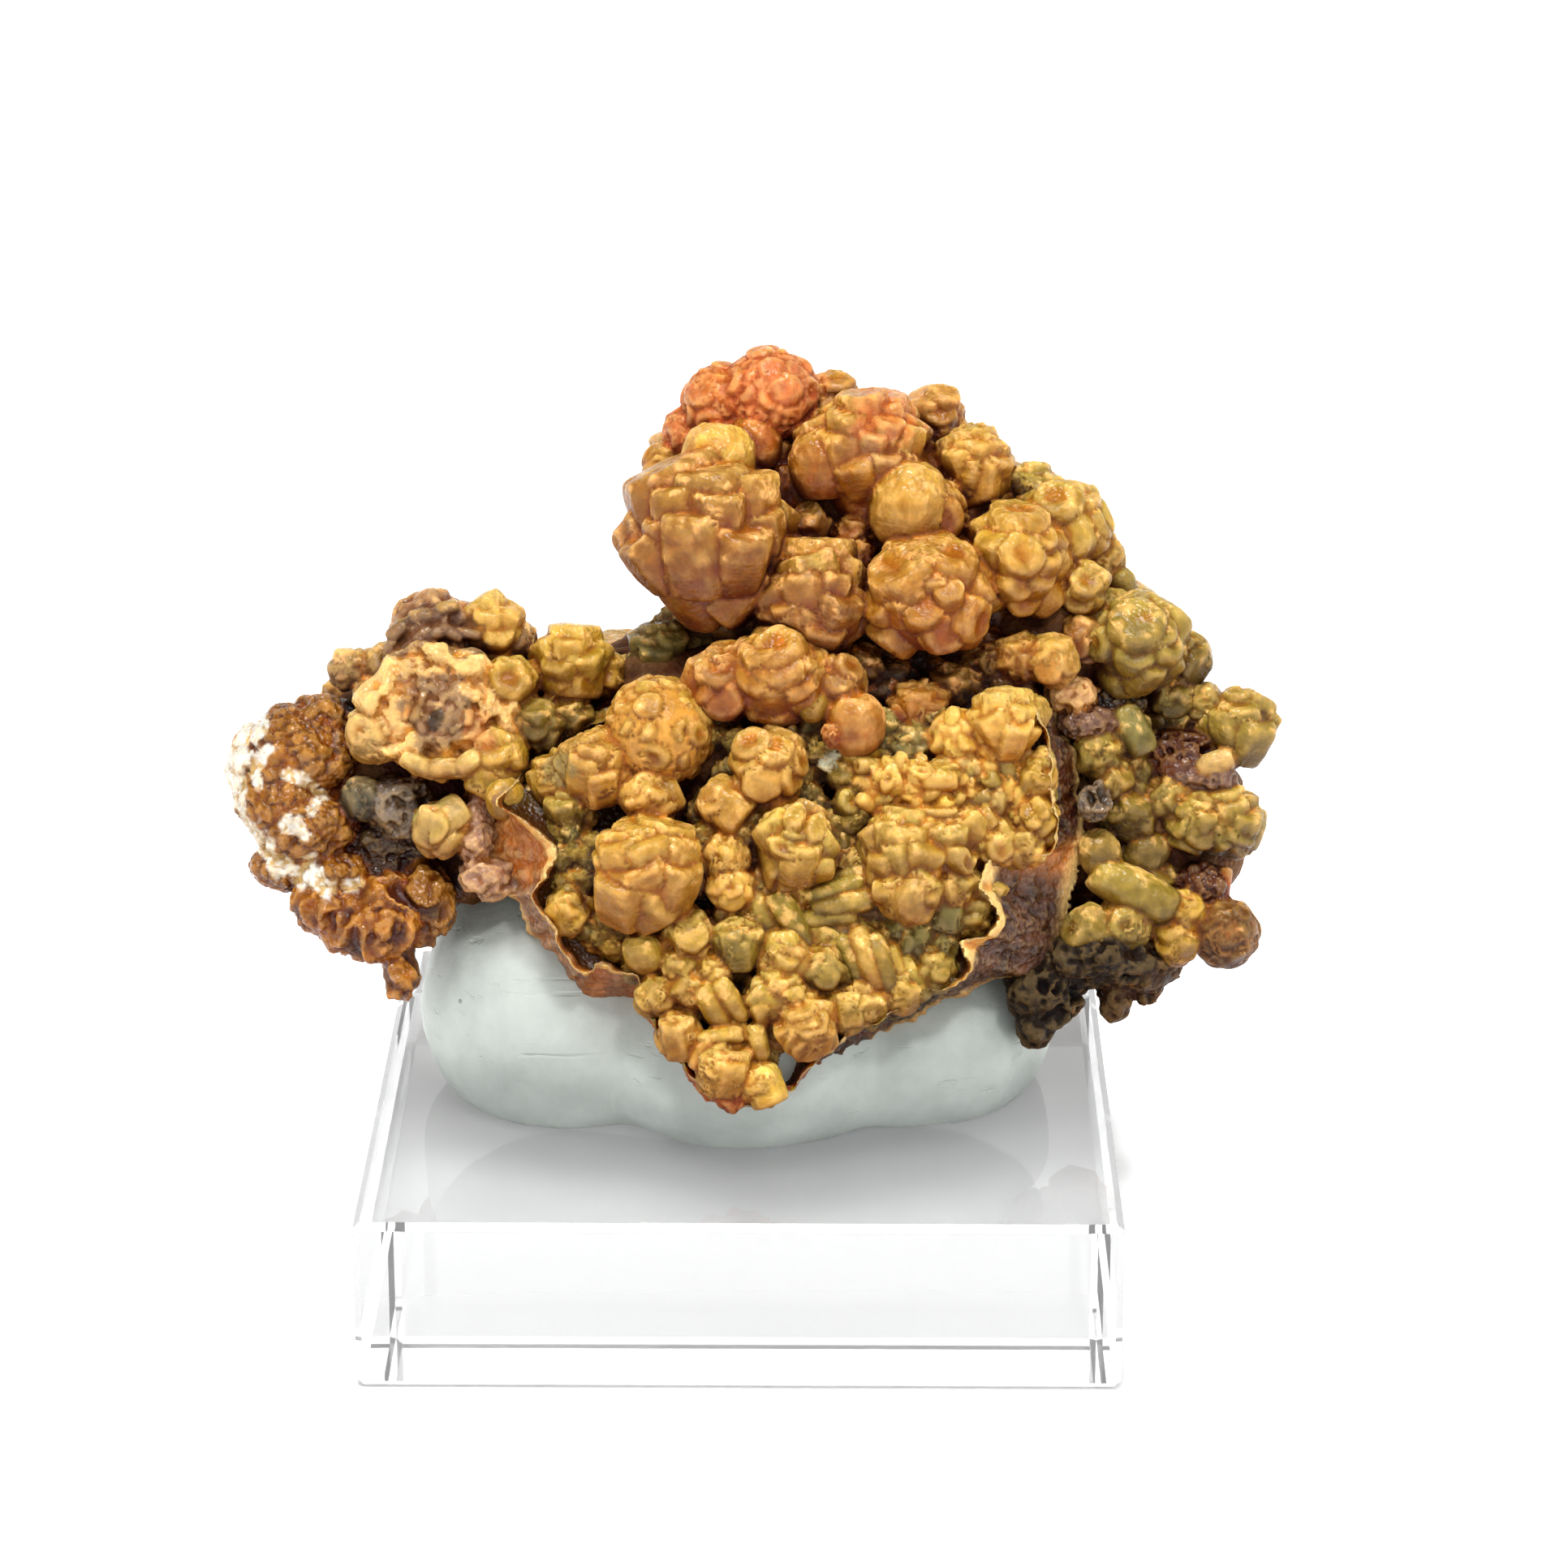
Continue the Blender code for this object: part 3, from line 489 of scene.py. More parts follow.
# The broken plate: its crystal-covered front rim, then its outer rim behind, as seen, with the section's tone
PLATE_EDGE = (
    (655, 940, 640, 932, "olive"),
    (618, 990, 592, 966, "clay"),
    (638, 1004, 596, 1010, "flesh"),
    (662, 1024, 594, 1036, "flesh"),
    (684, 1044, 600, 1060, "flesh"),
    (680, 1070, 614, 1084, "flesh"),
    (664, 1096, 630, 1104, "clay"),
    (664, 1116, 638, 1126, "clay"),
    (678, 1136, 648, 1146, "clay"),
    (690, 1160, 662, 1170, "clay"),
    (706, 1187, 682, 1198, "clay"),
    (722, 1200, 698, 1232, "ember"),
    (734, 1184, 728, 1244, "flesh"),
    (756, 1194, 752, 1240, "clay"),
    (776, 1198, 776, 1238, "flesh"),
    (789, 1216, 785, 1242, "flesh"),
    (803, 1250, 792, 1254, "flesh"),
    (822, 1290, 808, 1292, "orange"),
    (846, 1318, 834, 1326, "orange"),
    (872, 1344, 848, 1368, "orange"),
    (925, 1368, 922, 1380, "orange"),
    (970, 1340, 986, 1346, "orange"),
    (1012, 1300, 1036, 1314, "wine"),
    (1062, 1266, 1086, 1278, "wine"),
    (1122, 1232, 1134, 1250, "coal"),
    (1188, 1204, 1216, 1214, "plum"),
    (1188, 1166, 1296, 1200, "plum"),
    (1228, 1138, 1312, 1150, "plum"),
    (1206, 1082, 1320, 1100, "plum"),
    (1246, 1042, 1326, 1060, "flesh"),
    (1290, 1056, 1332, 1020, "wine"),
    (1297, 1000, 1334, 980, "wine"),
    (1293, 936, 1324, 932, "wine"),
    (1286, 898, 1306, 892, "plum"),
    (1258, 868, 1270, 858, "plum"),
    (1150, 850, 1150, 830, "olive"),
    (980, 890, 980, 870, "olive"),
    (800, 880, 800, 860, "olive"),
    (700, 905, 690, 890, "olive"),
)
EDGE_FRONT_DEPTH = 5.0
RIMLESS = "olive"
RIMLESS_DEPTH = 3.4
EDGE_BACK_DEPTH = 9.6
EDGE_STEPS = 26
RIM_WIDTH = 10.0
RIM_HEIGHT = 1.6
EDGE_SPACING = 3.0

# Small crystals that fill the plate between the larger groups: outline, how many, radii, depth, tones
Field = namedtuple("Field", "outline count radii depth tones kind")
FIELDS = (
    Field(((694, 1014), (730, 1000), (740, 1130), (790, 1150), (800, 1230), (746, 1172), (706, 1150), (690, 1080)),
          54, (13, 20), 7.0, ("lemon", "olive", "moss"), "ball"),
    Field(((720, 1100), (900, 1000), (1060, 1000), (1060, 1220), (900, 1340), (800, 1240)),
          130, (14, 24), 6.3, ("straw", "olive", "olive"), "ball"),
    Field(((1040, 1100), (1200, 1080), (1190, 1200), (1060, 1260), (1010, 1200)),
          70, (14, 22), 6.6, ("olive", "moss", "sage"), "ball"),
    Field(((860, 900), (1160, 880), (1180, 1060), (860, 1060)),
          110, (14, 22), 6.9, ("sage", "moss", "olive"), "ball"),
    Field(((1180, 940), (1286, 930), (1290, 1056), (1230, 1056), (1176, 1010)),
          170, (8, 15), 6.1, ("straw", "cream", "olive", "butter"), "rod"),
    Field(((1066, 940), (1180, 940), (1180, 1010), (1066, 1010)),
          60, (8, 14), 5.5, ("butter", "straw", "butter"), "rod"),
)

EDGE_TONES_RIM = "cream"


def seen(u, v, depth):
    """Where a pixel's line of sight is at a depth behind the block's upper front edge, in metres."""
    u, v, depth = (np.asarray(value, float) for value in (u, v, depth))
    zoom = 1 + depth / VIEW_DISTANCE
    across = VIEW_CENTRE[0] + ((u - ZERO_U) / PX_PER_MM - VIEW_CENTRE[0]) * zoom
    above = VIEW_CENTRE[1] + ((ZERO_V - v) / PX_PER_MM - VIEW_CENTRE[1]) * zoom
    local = np.stack((across, depth, above), axis=-1) * MM
    return local @ VIEW_AXES.T + np.array((0.0, BLOCK_FRONT, BLOCK_TOP))


def length_at(pixels, depth):
    return pixels / PX_PER_MM * (1 + depth / VIEW_DISTANCE) * MM


def unit(vectors):
    return vectors / np.linalg.norm(vectors, axis=-1, keepdims=True)


def hashed(lattice, seed):
    """A number from 0 to 1 for each whole-numbered place."""
    lattice = lattice.astype(np.int64)
    mixed = lattice[..., 0] * 73856093 ^ lattice[..., 1] * 19349663 ^ lattice[..., 2] * 83492791
    mixed = (mixed ^ seed * 2654435761) & 0xFFFFFFFF
    for _ in range(2):
        mixed = ((mixed ^ (mixed >> 16)) * 0x45D9F3B) & 0xFFFFFFFF
    return (mixed ^ (mixed >> 16)) / 4294967296.0


def noise(points, seed=0):
    """Smooth noise from -1 to 1 with features of about one unit."""
    base = np.floor(points)
    part = points - base
    part = part * part * (3 - 2 * part)
    total = np.zeros(len(points))
    for corner in np.ndindex(2, 2, 2):
        weight = np.prod(np.where(np.array(corner) == 1, part, 1 - part), axis=1)
        total += weight * hashed(base + corner, seed)
    return total * 2 - 1


def rough_noise(points, octaves, seed=0):
    total = np.zeros(len(points))
    for octave in range(octaves):
        total += noise(points * 2.03 ** octave, seed + octave) / 1.9 ** octave
    return total


def cells(points, seed=0):
    """Distances to the nearest and second nearest scattered points, and a number for the nearest one."""
    base = np.floor(points)
    nearest = np.full(len(points), 9.0)
    second = np.full(len(points), 9.0)
    owner = np.zeros(len(points))
    for step in np.ndindex(3, 3, 3):
        lattice = base + step - 1
        jitter = np.stack([hashed(lattice, seed + axis) for axis in range(3)], axis=1)
        distance = np.linalg.norm(lattice + jitter - points, axis=1)
        closer = distance < nearest
        second = np.where(closer, nearest, np.minimum(second, distance))
        owner = np.where(closer, jitter[:, 0], owner)
        nearest = np.where(closer, distance, nearest)
    return nearest, second, owner


def smoothstep(low, high, value):
    share = np.clip((value - low) / (high - low), 0, 1)
    return share * share * (3 - 2 * share)


def rounded(share):
    """The height of a quarter-round edge: 0 at the groove, 1 on the flat."""
    return np.sqrt(1 - (1 - np.clip(share, 0, 1)) ** 2)


TEMPLATES = {}


def round_template(level):
    """Directions and triangles of an even ball."""
    if level not in TEMPLATES:
        shape = bmesh.new()
        bmesh.ops.create_icosphere(shape, subdivisions=level, radius=1.0)
        directions = unit(np.array([vert.co for vert in shape.verts]))
        faces = np.array([[vert.index for vert in face.verts] for face in shape.faces])
        shape.free()
        TEMPLATES[level] = (directions, faces)
    return TEMPLATES[level]


def level_for(radius, spacing):
    """How fine a ball has to be for its points to lie about a spacing apart."""
    return int(np.clip(1 + math.ceil(math.log2(max(1.05 * radius / spacing, 1))), 3, 7))


def spread_directions(count, rng):
    """Directions spread over a sphere, with some disorder."""
    index = np.arange(count) + 0.5
    height = 1 - 2 * index / count
    ring = np.sqrt(1 - height * height)
    angle = index * math.pi * (3 - math.sqrt(5))
    spread = np.stack((ring * np.cos(angle), ring * np.sin(angle), height), axis=1)
    turn, _ = np.linalg.qr(rng.normal(size=(3, 3)))
    disorder = rng.normal(size=spread.shape) * 0.32 / math.sqrt(count)
    return unit(spread @ turn + disorder)


def outward_at(place):
    along = np.clip(place[0] - SPINE_CENTRE[0], -SPINE_HALF, SPINE_HALF)
    return unit(place - SPINE_CENTRE - np.array((along, 0.0, 0.0)))


def packed(ways, widths, placed):
    """The crystals that weren't placed are pushed apart, then all are resized until neighbours just meet."""
    apart = None
    for _ in range(PACK_ROUNDS):
        apart = np.arccos(np.clip(ways @ ways.T, -1, 1)) + np.eye(len(ways)) * 9
        overlap = np.clip(widths[:, None] + widths[None, :] - apart, 0, None) / apart
        push = ((ways[:, None, :] - ways[None, :, :]) * overlap[..., None]).sum(axis=1) * 0.5
        push[:placed] = 0
        ways = unit(ways + push)
    room = (apart / (widths[:, None] + widths[None, :])).min(axis=1)
    limits = np.array([PLACED_LIMITS] * placed + [PACK_LIMITS] * (len(ways) - placed))
    return ways, widths * np.clip(room, limits[:, 0], limits[:, 1])


def seeds_for(row, outward, rng):
    """A group's crystals, those listed first: which way each one lies, and its half width."""
    spacing = math.sqrt(4 * math.pi / row.count)
    ways, widths = [], []
    for u, v, *size in row.ends:
        across = (u - row.u) / row.radius
        above = (row.v - v) / row.radius
        share = math.hypot(across, above)
        if share > 0.95:
            across, above, share = across * 0.95 / share, above * 0.95 / share, 0.95
        ways.append(EYE_RIGHT * across + EYE_UP * above + EYE_SIDE * math.sqrt(1 - share * share))
        widths.append(size[0] / row.radius if size else spacing * 0.52)
    placed = len(ways)
    for way in spread_directions(row.count, rng):
        if way @ outward < FACING_LIMIT and way @ EYE_SIDE < FACING_LIMIT:
            continue
        if placed and (np.array(ways[:placed]) @ way - np.cos(np.array(widths[:placed]) + spacing * 0.2)).max() > 0:
            continue
        ways.append(way)
        widths.append(spacing * rng.uniform(0.32, 0.70))
    return (*packed(unit(np.array(ways)), np.array(widths), placed), placed)


def own_axes(axis, facing, roll):
    """A crystal's own axes: its length, its width, and the way that one of its six sides faces."""
    toward = facing - axis * (facing @ axis)
    if np.linalg.norm(toward) < 0.1:
        toward = np.cross(axis, EYE_RIGHT)
    toward = unit(toward)
    across = np.cross(toward, axis) * math.cos(roll) + toward * math.sin(roll)
    return np.stack((axis, across, np.cross(axis, across)))


# What is made from a row of a list: its shape, the colours and relief of its points, and the crystal that it is
Part = namedtuple("Part", "points faces tone relief along growth", defaults=(None,))
Growth = namedtuple("Growth", "centre axes halves power top deep hollow tint shift")
COARSER = 1.45
MOVE_LIMIT = 1.6
TAPER = 0.10


def barrel_size(local, power):
    """How far out a place is on a rounded six-sided block, where 1 is its surface."""
    sixth = math.pi / 3
    total = np.abs(local[:, 0]) ** power
    for turn in range(3):
        face = local[:, 1] * math.sin(turn * sixth) + local[:, 2] * math.cos(turn * sixth)
        total = total + np.abs(face) ** power
    return total ** (1 / power)


def crystal(centre, axes, halves, power, tone, rng, voxel):
    """One barrel crystal: a rounded six-sided block that narrows a little towards its ends."""
    directions, faces = round_template(level_for(float(halves.max()), voxel * COARSER))
    local = directions / barrel_size(directions, power)[:, None]
    local[:, 1:] *= 1 - TAPER * local[:, :1] ** 2
    top, deep = TONES[tone]
    hollow = HOLLOW_DEPTH * (rng.random() < HOLLOW_SHARE)
    growth = Growth(centre, axes, halves, power, top, deep, hollow, random_tint(rng), rng.uniform(-50, 50, 3))
    blank = np.zeros(len(local))
    return Part(centre + (local * halves) @ axes, faces, np.zeros(local.shape), blank, blank, growth)


def finished(skin, owner, growths, voxel):
    """The fine relief and the colours of the crystals on the final skin: growth lines, steps and sugary ledges, with
    painted light on them: upper sides paler, lower sides darker as painted shade, and painted highlights and glints
    on upper ledges.
    """
    centre, axes, halves, power, top, deep, hollow, tint, shift = (
        np.array([growth[index] for growth in growths])[owner] for index in range(len(Growth._fields)))
    offset = skin - centre
    local = np.einsum("nij,nj->ni", axes, offset) / halves
    straight = local.copy()
    straight[:, 1:] /= 1 - TAPER * np.clip(local[:, :1], -1, 1) ** 2
    place = local * halves / MM
    bands = noise(place[:, :1] / LINE_SPACING * (1, 0, 0) + shift, 5)
    lumpy = rough_noise(place / 0.75 + shift, 2, 6)
    stepped = np.floor(rough_noise(place / 0.8 + shift + 9, 1, 7) * 2.5) / 2.5
    end = smoothstep(0.55, 0.8, np.abs(local[:, 0]))
    reach = (np.abs(axes @ EYE_UP) * halves).sum(axis=1)
    rise = np.clip(0.5 + 0.58 * (offset @ EYE_UP) / reach, 0, 1)
    sugar_and_highlight = smoothstep(0.60, 0.95, rise + 0.16 * lumpy)
    grains_and_glints = smoothstep(0.15, 0.42, rough_noise(place / 0.42 + shift + 21, 2, 11))
    grains_and_glints *= smoothstep(0.45, 0.80, rise + 0.30 * lumpy)
    relief = STEP_SHARE * (0.4 * bands * (1 - end) + 1.2 * lumpy + 1.6 * stepped + 1.2 * grains_and_glints)
    relief *= np.clip(halves.mean(axis=1) / MM, 0.4, 1.3) / (halves.mean(axis=1) / MM)
    relief -= hollow * end * smoothstep(0.62, 0.20, barrel_size(straight * (0, 1, 1), power))
    factor = (1 + relief) / np.maximum(barrel_size(straight, power), 0.3)
    limit = MOVE_LIMIT * voxel / np.linalg.norm(offset, axis=1)
    moved = centre + offset * np.clip(factor, 1 - limit, 1 + limit)[:, None]
    # Painted light and shade: each crystal paler on its upper side and darker on its lower side, with growth lines
    # and random lumps
    shade = np.clip(0.02 + 0.78 * rise + 0.10 * bands * (1 - end) + 0.18 * lumpy, 0, 1)[:, None]
    colour = deep + (top - deep) * shade
    # Painted highlight: upper ledges pale towards the highlight colour
    colour = colour + ((PAINTED_HIGHLIGHT + top) / 2 - colour) * 0.3 * sugar_and_highlight[:, None]
    colour = colour * tint * GLAZE
    # Painted glints: scattered spots on upper sides turn near white; the same spots are also raised a little
    colour = colour + (PAINTED_GLINT * (0.4 + 0.6 * top / top.max(axis=1, keepdims=True)) - colour) * 0.5 * grains_and_glints[:, None]
    return moved, colour, np.maximum(sugar_and_highlight, grains_and_glints), place[:, 0] + shift[:, 0]


def joined(parts):
    starts = np.cumsum([0] + [len(part.points) for part in parts[:-1]])
    faces = np.concatenate([part.faces + start for part, start in zip(parts, starts)])
    points, tone, relief, along = (np.concatenate([part[index] for part in parts]) for index in (0, 2, 3, 4))
    numbers = np.cumsum([part.growth is not None for part in parts]) - 1
    owner = np.concatenate([np.full(len(part.points), number if part.growth is not None else -1)
                            for part, number in zip(parts, numbers)])
    return points, faces, tone, relief, along, owner


def random_tint(rng):
    return 1 + rng.normal() * 0.07 + rng.normal(size=3) * (0.01, 0.035, 0.08)


def rim_rows(rims, rng):
    """Short rods that follow each rim's path."""
    rows = []
    for rim in rims:
        for (u, v), (u_next, v_next) in zip(rim.path, rim.path[1:]):
            steps = max(1, round(math.hypot(u_next - u, v_next - v) / (rim.width * 2)))
            for step in range(steps):
                share = (step + 0.5) / steps
                length = math.hypot(u_next - u, v_next - v) / steps / 2 + rim.width * 0.8
                width = rim.width * rng.uniform(0.75, 1.35)
                angle = math.degrees(math.atan2(v - v_next, u_next - u)) + rng.normal() * 10
                rows.append(Rod(u + (u_next - u) * share + rng.normal() * 2, v + (v_next - v) * share + rng.normal() * 2,
                                rim.depth + rng.uniform(-0.15, 0.15), length, width, width * 1.5, angle, 0, rim.tone))
    return tuple(rows)


def grown_ball(row, rng, voxel):
    """A group of barrel crystals round a core."""
    habit = HABITS[row.habit]
    centre = seen(row.u, row.v, row.depth)
    radius = float(length_at(row.radius, row.depth)) * GROUP_SWELL
    outward = outward_at(centre)
    if row.habit == "smooth":
        axes = own_axes(unit(EYE_UP + outward * 0.4 + rng.normal(size=3) * 0.2), EYE_SIDE, rng.uniform(0, 1))
        return [crystal(centre, axes, np.full(3, radius), SMOOTH_POWER, row.tone, rng, voxel)]
    ways, widths, placed = seeds_for(row, outward, rng)
    core_ways, core_faces = round_template(level_for(radius, voxel * COARSER * 2))
    core = centre + core_ways * (radius * habit.core)
    top, deep = TONES[row.tone]
    # A core seen between crusted crystals takes a middle tone; other cores are darkened, painted shade deep in the
    # group
    deep = (top + deep) / 2 if habit.core > CRUSTED else deep * 0.7
    parts = [Part(core, core_faces, np.tile(deep, (len(core), 1)), np.zeros(len(core)), np.zeros(len(core)))]
    for index, (way, width) in enumerate(zip(ways, widths)):
        reach = radius * (1 - habit.spread * rng.uniform(0, 1) * (0.6 if index < placed else 1.0))
        half_width = radius * width * habit.fit * math.cos(width) ** 0.5
        halves = half_width * np.array((habit.length * rng.uniform(0.92, 1.10), 1.0, habit.flat))
        halves[2] = max(halves[2], radius * 0.22)
        axis = unit(way * (1 - habit.upright) + EYE_UP * habit.upright + rng.normal(size=3) * habit.tilt)
        axes = own_axes(axis, way, rng.normal() * 0.18)
        depth = float(np.sqrt(((axes @ way * halves) ** 2).sum())) * 0.55 + float(np.abs(axes @ way) @ halves) * 0.45
        power = habit.power * rng.uniform(0.85, 1.2)
        parts.append(crystal(centre + way * (reach - depth), axes, halves, power, row.tone, rng, voxel))
    return parts


def grown_rod(row, rng, voxel):
    """A single long barrel or plate crystal."""
    centre = seen(row.u, row.v, row.depth)
    halves = np.array([float(length_at(size, row.depth)) for size in (row.length, row.width, row.thick)])
    angle, lean = math.radians(row.angle), math.radians(row.lean)
    flat_axis = EYE_RIGHT * math.cos(angle) + EYE_UP * math.sin(angle)
    axis = flat_axis * math.cos(lean) + EYE_SIDE * math.sin(lean)
    return [crystal(centre, own_axes(axis, EYE_SIDE, 0.0), halves, ROD_POWER, row.tone, rng, voxel)]


def druse_relief(place, seed):
    """Small blocky crystals: height in mm, and how deep in a groove a point is."""
    near, far, owner = cells(place / 0.85, seed)
    step = rounded((far - near) / 0.40)
    near_fine, far_fine, owner_fine = cells(place / 0.4, seed + 9)
    fine = rounded((far_fine - near_fine) / 0.4)
    height = 0.20 * (owner - 0.5) - 0.16 * (1 - step) + 0.06 * (owner_fine - 0.5) - 0.04 * (1 - fine)
    return height, step * (0.7 + 0.3 * fine)


def sponge_relief(place, seed):
    """Round pores of two sizes, crowded in some places and few in others."""
    bend = np.stack([noise(place / 1.1 + 7 * axis, seed + axis) for axis in range(3)], axis=1) * 0.35
    near, _, owner = cells(place / 1.25 + bend, seed)
    crowd = smoothstep(-0.45, 0.15, noise(place / 2.4, seed + 3))
    pit = smoothstep(0.56, 0.30, near + 0.22 * owner) * crowd
    near_fine, _, owner_fine = cells(place / 0.55 + bend, seed + 5)
    fine = smoothstep(0.54, 0.28, near_fine + 0.22 * owner_fine)
    rough = rough_noise(place / 0.5, 2, seed + 8)
    height = -0.60 * pit - 0.20 * fine + 0.08 * rough
    return height, 1 - np.clip(0.85 * pit + 0.45 * fine, 0, 1)


def ruffle_relief(place, seed):
    """Wavy, folded growth."""
    bend = np.stack([noise(place / 1.6 + 11 * axis, seed + axis) for axis in range(3)], axis=1)
    ridge = 1 - np.abs(rough_noise(place / 1.3 + bend * 0.8, 2, seed + 4)) * 1.6
    fine = rough_noise(place / 0.4, 2, seed + 7)
    return 0.34 * (ridge - 0.6) + 0.07 * fine, np.clip(ridge * 0.8 + 0.2, 0, 1)


def broken_relief(place, directions, height, open_share):
    """A porous face towards the front, sunk inside a wavy smooth rim."""
    turned = -directions[:, 1] + 0.42 * rough_noise(place / 1.7, 2, 17)
    face = smoothstep(0.42, 0.62, turned)
    rim = smoothstep(0.14, 0.34, turned) * (1 - face)
    height = height * face + 0.32 * rim - 0.30 * face + 0.04 * rough_noise(place / 0.5, 2, 19)
    return height, np.clip(open_share * face + 1 - face, 0, 1) * (1 - 0.35 * face)


RELIEFS = {"druse": druse_relief, "sponge": sponge_relief, "ruffle": ruffle_relief, "broken": sponge_relief}


def grown_lump(row, rng, voxel):
    """An uneven lump with a crystalline, porous or folded surface."""
    centre = seen(row.u, row.v, row.depth)
    halves = np.array([length_at(size, row.depth) for size in (row.across, row.thick, row.up)]) / MM
    directions, faces = round_template(level_for(halves.mean() * MM, voxel * COARSER))
    seed = int(rng.integers(1, 9999))
    shift = rng.uniform(-50, 50, 3)
    ball = directions * halves
    swell = 1 + 0.16 * rough_noise(ball / (halves.min() * 0.9) + shift, 2, seed)
    place = ball * swell[:, None]
    normal = unit(directions / halves)
    height, open_share = RELIEFS[row.grain](place + shift, seed)
    if row.grain == "broken":
        height, open_share = broken_relief(place + shift, directions, height, open_share)
    local = place + normal * height[:, None]
    points = centre + (local * MM) @ VIEW_AXES.T
    top, deep = TONES[row.tone]
    blotch = 0.5 + 0.5 * noise(place / 1.4 + shift, seed + 2)
    # Painted shade: darker in grooves and pores, paler on open surfaces, with random blotches
    shade = np.clip(open_share * (0.65 + 0.5 * blotch), 0, 1)[:, None]
    tone = deep + (top - deep) * shade
    return [Part(points, faces, tone, open_share, place[:, 2] + 0.3 * blotch)]


def curve_through(points, spacing):
    """A smooth closed curve through the points, with places a given spacing apart."""
    points = np.asarray(points, float)
    dense = []
    count = len(points)
    for index in range(count):
        before, start, end, after = (points[(index + step) % count] for step in (-1, 0, 1, 2))
        steps = max(2, int(np.linalg.norm((end - start)[:2]) / spacing))
        for share in np.arange(steps) / steps:
            pull = 0.5 * (end - before)
            lead = 0.5 * (after - start)
            square, cube = share ** 2, share ** 3
            dense.append((2 * cube - 3 * square + 1) * start + (cube - 2 * square + share) * pull
                         + (3 * square - 2 * cube) * end + (cube - square) * lead)
    return np.array(dense)


def broken_plate(rng):
    """The plate that carries the front crystals, with its broken edge: a rim, a rough section, and a back rim."""
    tones = [np.concatenate((TONES[row[4]][0], TONES[row[4]][1])) for row in PLATE_EDGE]
    covered = [[float(row[4] == RIMLESS)] for row in PLATE_EDGE]
    controls = [np.concatenate((row[:4], tone, hidden)) for row, tone, hidden in zip(PLATE_EDGE, tones, covered)]
    ring = curve_through(controls, EDGE_SPACING)
    count = len(ring)
    jag = rough_noise(np.stack((ring[:, 0], ring[:, 1], np.zeros(count)), axis=1) / 22.0, 3, 31)
    jag_back = rough_noise(np.stack((ring[:, 2], ring[:, 3], np.ones(count)), axis=1) / 22.0, 3, 47)
    middle = ring[:, :2].mean(axis=0)
    out = unit(ring[:, :2] - middle)
    share = np.concatenate(([0.0], np.linspace(0, 1, EDGE_STEPS - 1)))[None, :]
    recess = np.zeros(EDGE_STEPS)
    recess[0] = 1.0
    front = ring[:, 0:2] + out * jag[:, None] * 6
    back = ring[:, 2:4] + out * jag_back[:, None] * 8
    bulge = np.sin(share * math.pi)[..., None]
    path = front[:, None, :] * (1 - share[..., None]) + back[:, None, :] * share[..., None]
    path = path - out[:, None, :] * recess[None, :, None] * RIM_WIDTH
    depth = EDGE_FRONT_DEPTH + (EDGE_BACK_DEPTH - EDGE_FRONT_DEPTH) * share + RIM_HEIGHT * recess
    depth = depth + (1 - share) * RIMLESS_DEPTH * ring[:, 10:11]
    base = seen(path[..., 0], path[..., 1], depth)
    place = base.reshape(-1, 3) / MM
    rim_front = 1 - smoothstep(0.10, 0.22, share + 0.05 * jag[:, None])
    rim_back = smoothstep(0.84, 0.95, share + 0.05 * jag_back[:, None])
    rim = np.maximum(rim_front, rim_back * 0.7) * (1 - np.clip(ring[:, 10:11], 0, 1))
    sponge, pores = sponge_relief(place / 0.8, 61)
    grain = rough_noise(place / 0.5, 3, 71)
    dark = smoothstep(0.35, 0.1, ring[:, 4])[:, None] + 0 * share
    inside = (1 - rim) * bulge[..., 0]
    hollow = inside * (0.25 + 0.2 * grain.reshape(inside.shape) + dark * 0.9 * (-sponge.reshape(inside.shape)))
    out_world = out[:, 0, None] * EYE_RIGHT - out[:, 1, None] * EYE_UP
    points = base - out_world[:, None, :] * hollow[..., None] * MM
    top = ring[:, 4:7][:, None, :]
    deep = ring[:, 7:10][:, None, :]
    mottle = np.clip(0.55 + 0.5 * grain, 0, 1).reshape(inside.shape)
    # In the dark sections the pores are darkened further, painted shade in the pores
    mottle = mottle * (1 - dark * (1 - pores.reshape(inside.shape)) * 0.9)
    tone = deep + (top - deep) * mottle[..., None]
    tone = tone + (TONES[EDGE_TONES_RIM][0] * 0.95 - tone) * rim[..., None]
    tone[:, 0] = TONES["moss"][1]
    faces = []
    for column in range(count):
        after = (column + 1) % count
        for step in range(EDGE_STEPS - 1):
            low, low_after = column * EDGE_STEPS + step, after * EDGE_STEPS + step
            faces.append((low, low + 1, low_after + 1))
            faces.append((low, low_after + 1, low_after))
    front_ring = [column * EDGE_STEPS for column in range(count)]
    back_ring = [column * EDGE_STEPS + EDGE_STEPS - 1 for column in range(count)]
    return points.reshape(-1, 3), faces, [front_ring, back_ring[::-1]], tone.reshape(-1, 3)


def inside_outline(u, v, outline):
    inside = False
    for index, (u0, v0) in enumerate(outline):
        u1, v1 = outline[index - 1]
        if (v0 > v) != (v1 > v) and u < (u1 - u0) * (v - v0) / (v1 - v0) + u0:
            inside = not inside
    return inside


def field_rows(field, rng):
    """Small crystals scattered over an outline."""
    outline = np.array(field.outline, float)
    low, high = outline.min(axis=0), outline.max(axis=0)
    rows = []
    while len(rows) < field.count:
        u, v = rng.uniform(low, high)
        if not inside_outline(u, v, field.outline):
            continue
        size = rng.uniform(*field.radii)
        depth = field.depth + rng.uniform(-0.35, 0.35)
        tone = field.tones[int(rng.integers(len(field.tones)))]
        if field.kind == "rod":
            rows.append(Rod(u, v, depth, size * 1.35, size * 0.85, size * 0.9, rng.uniform(0, 180),
                            rng.uniform(-10, 45), tone))
        else:
            rows.append(Ball(u, v, depth, size, tone, "pillow", 9))
    return rows


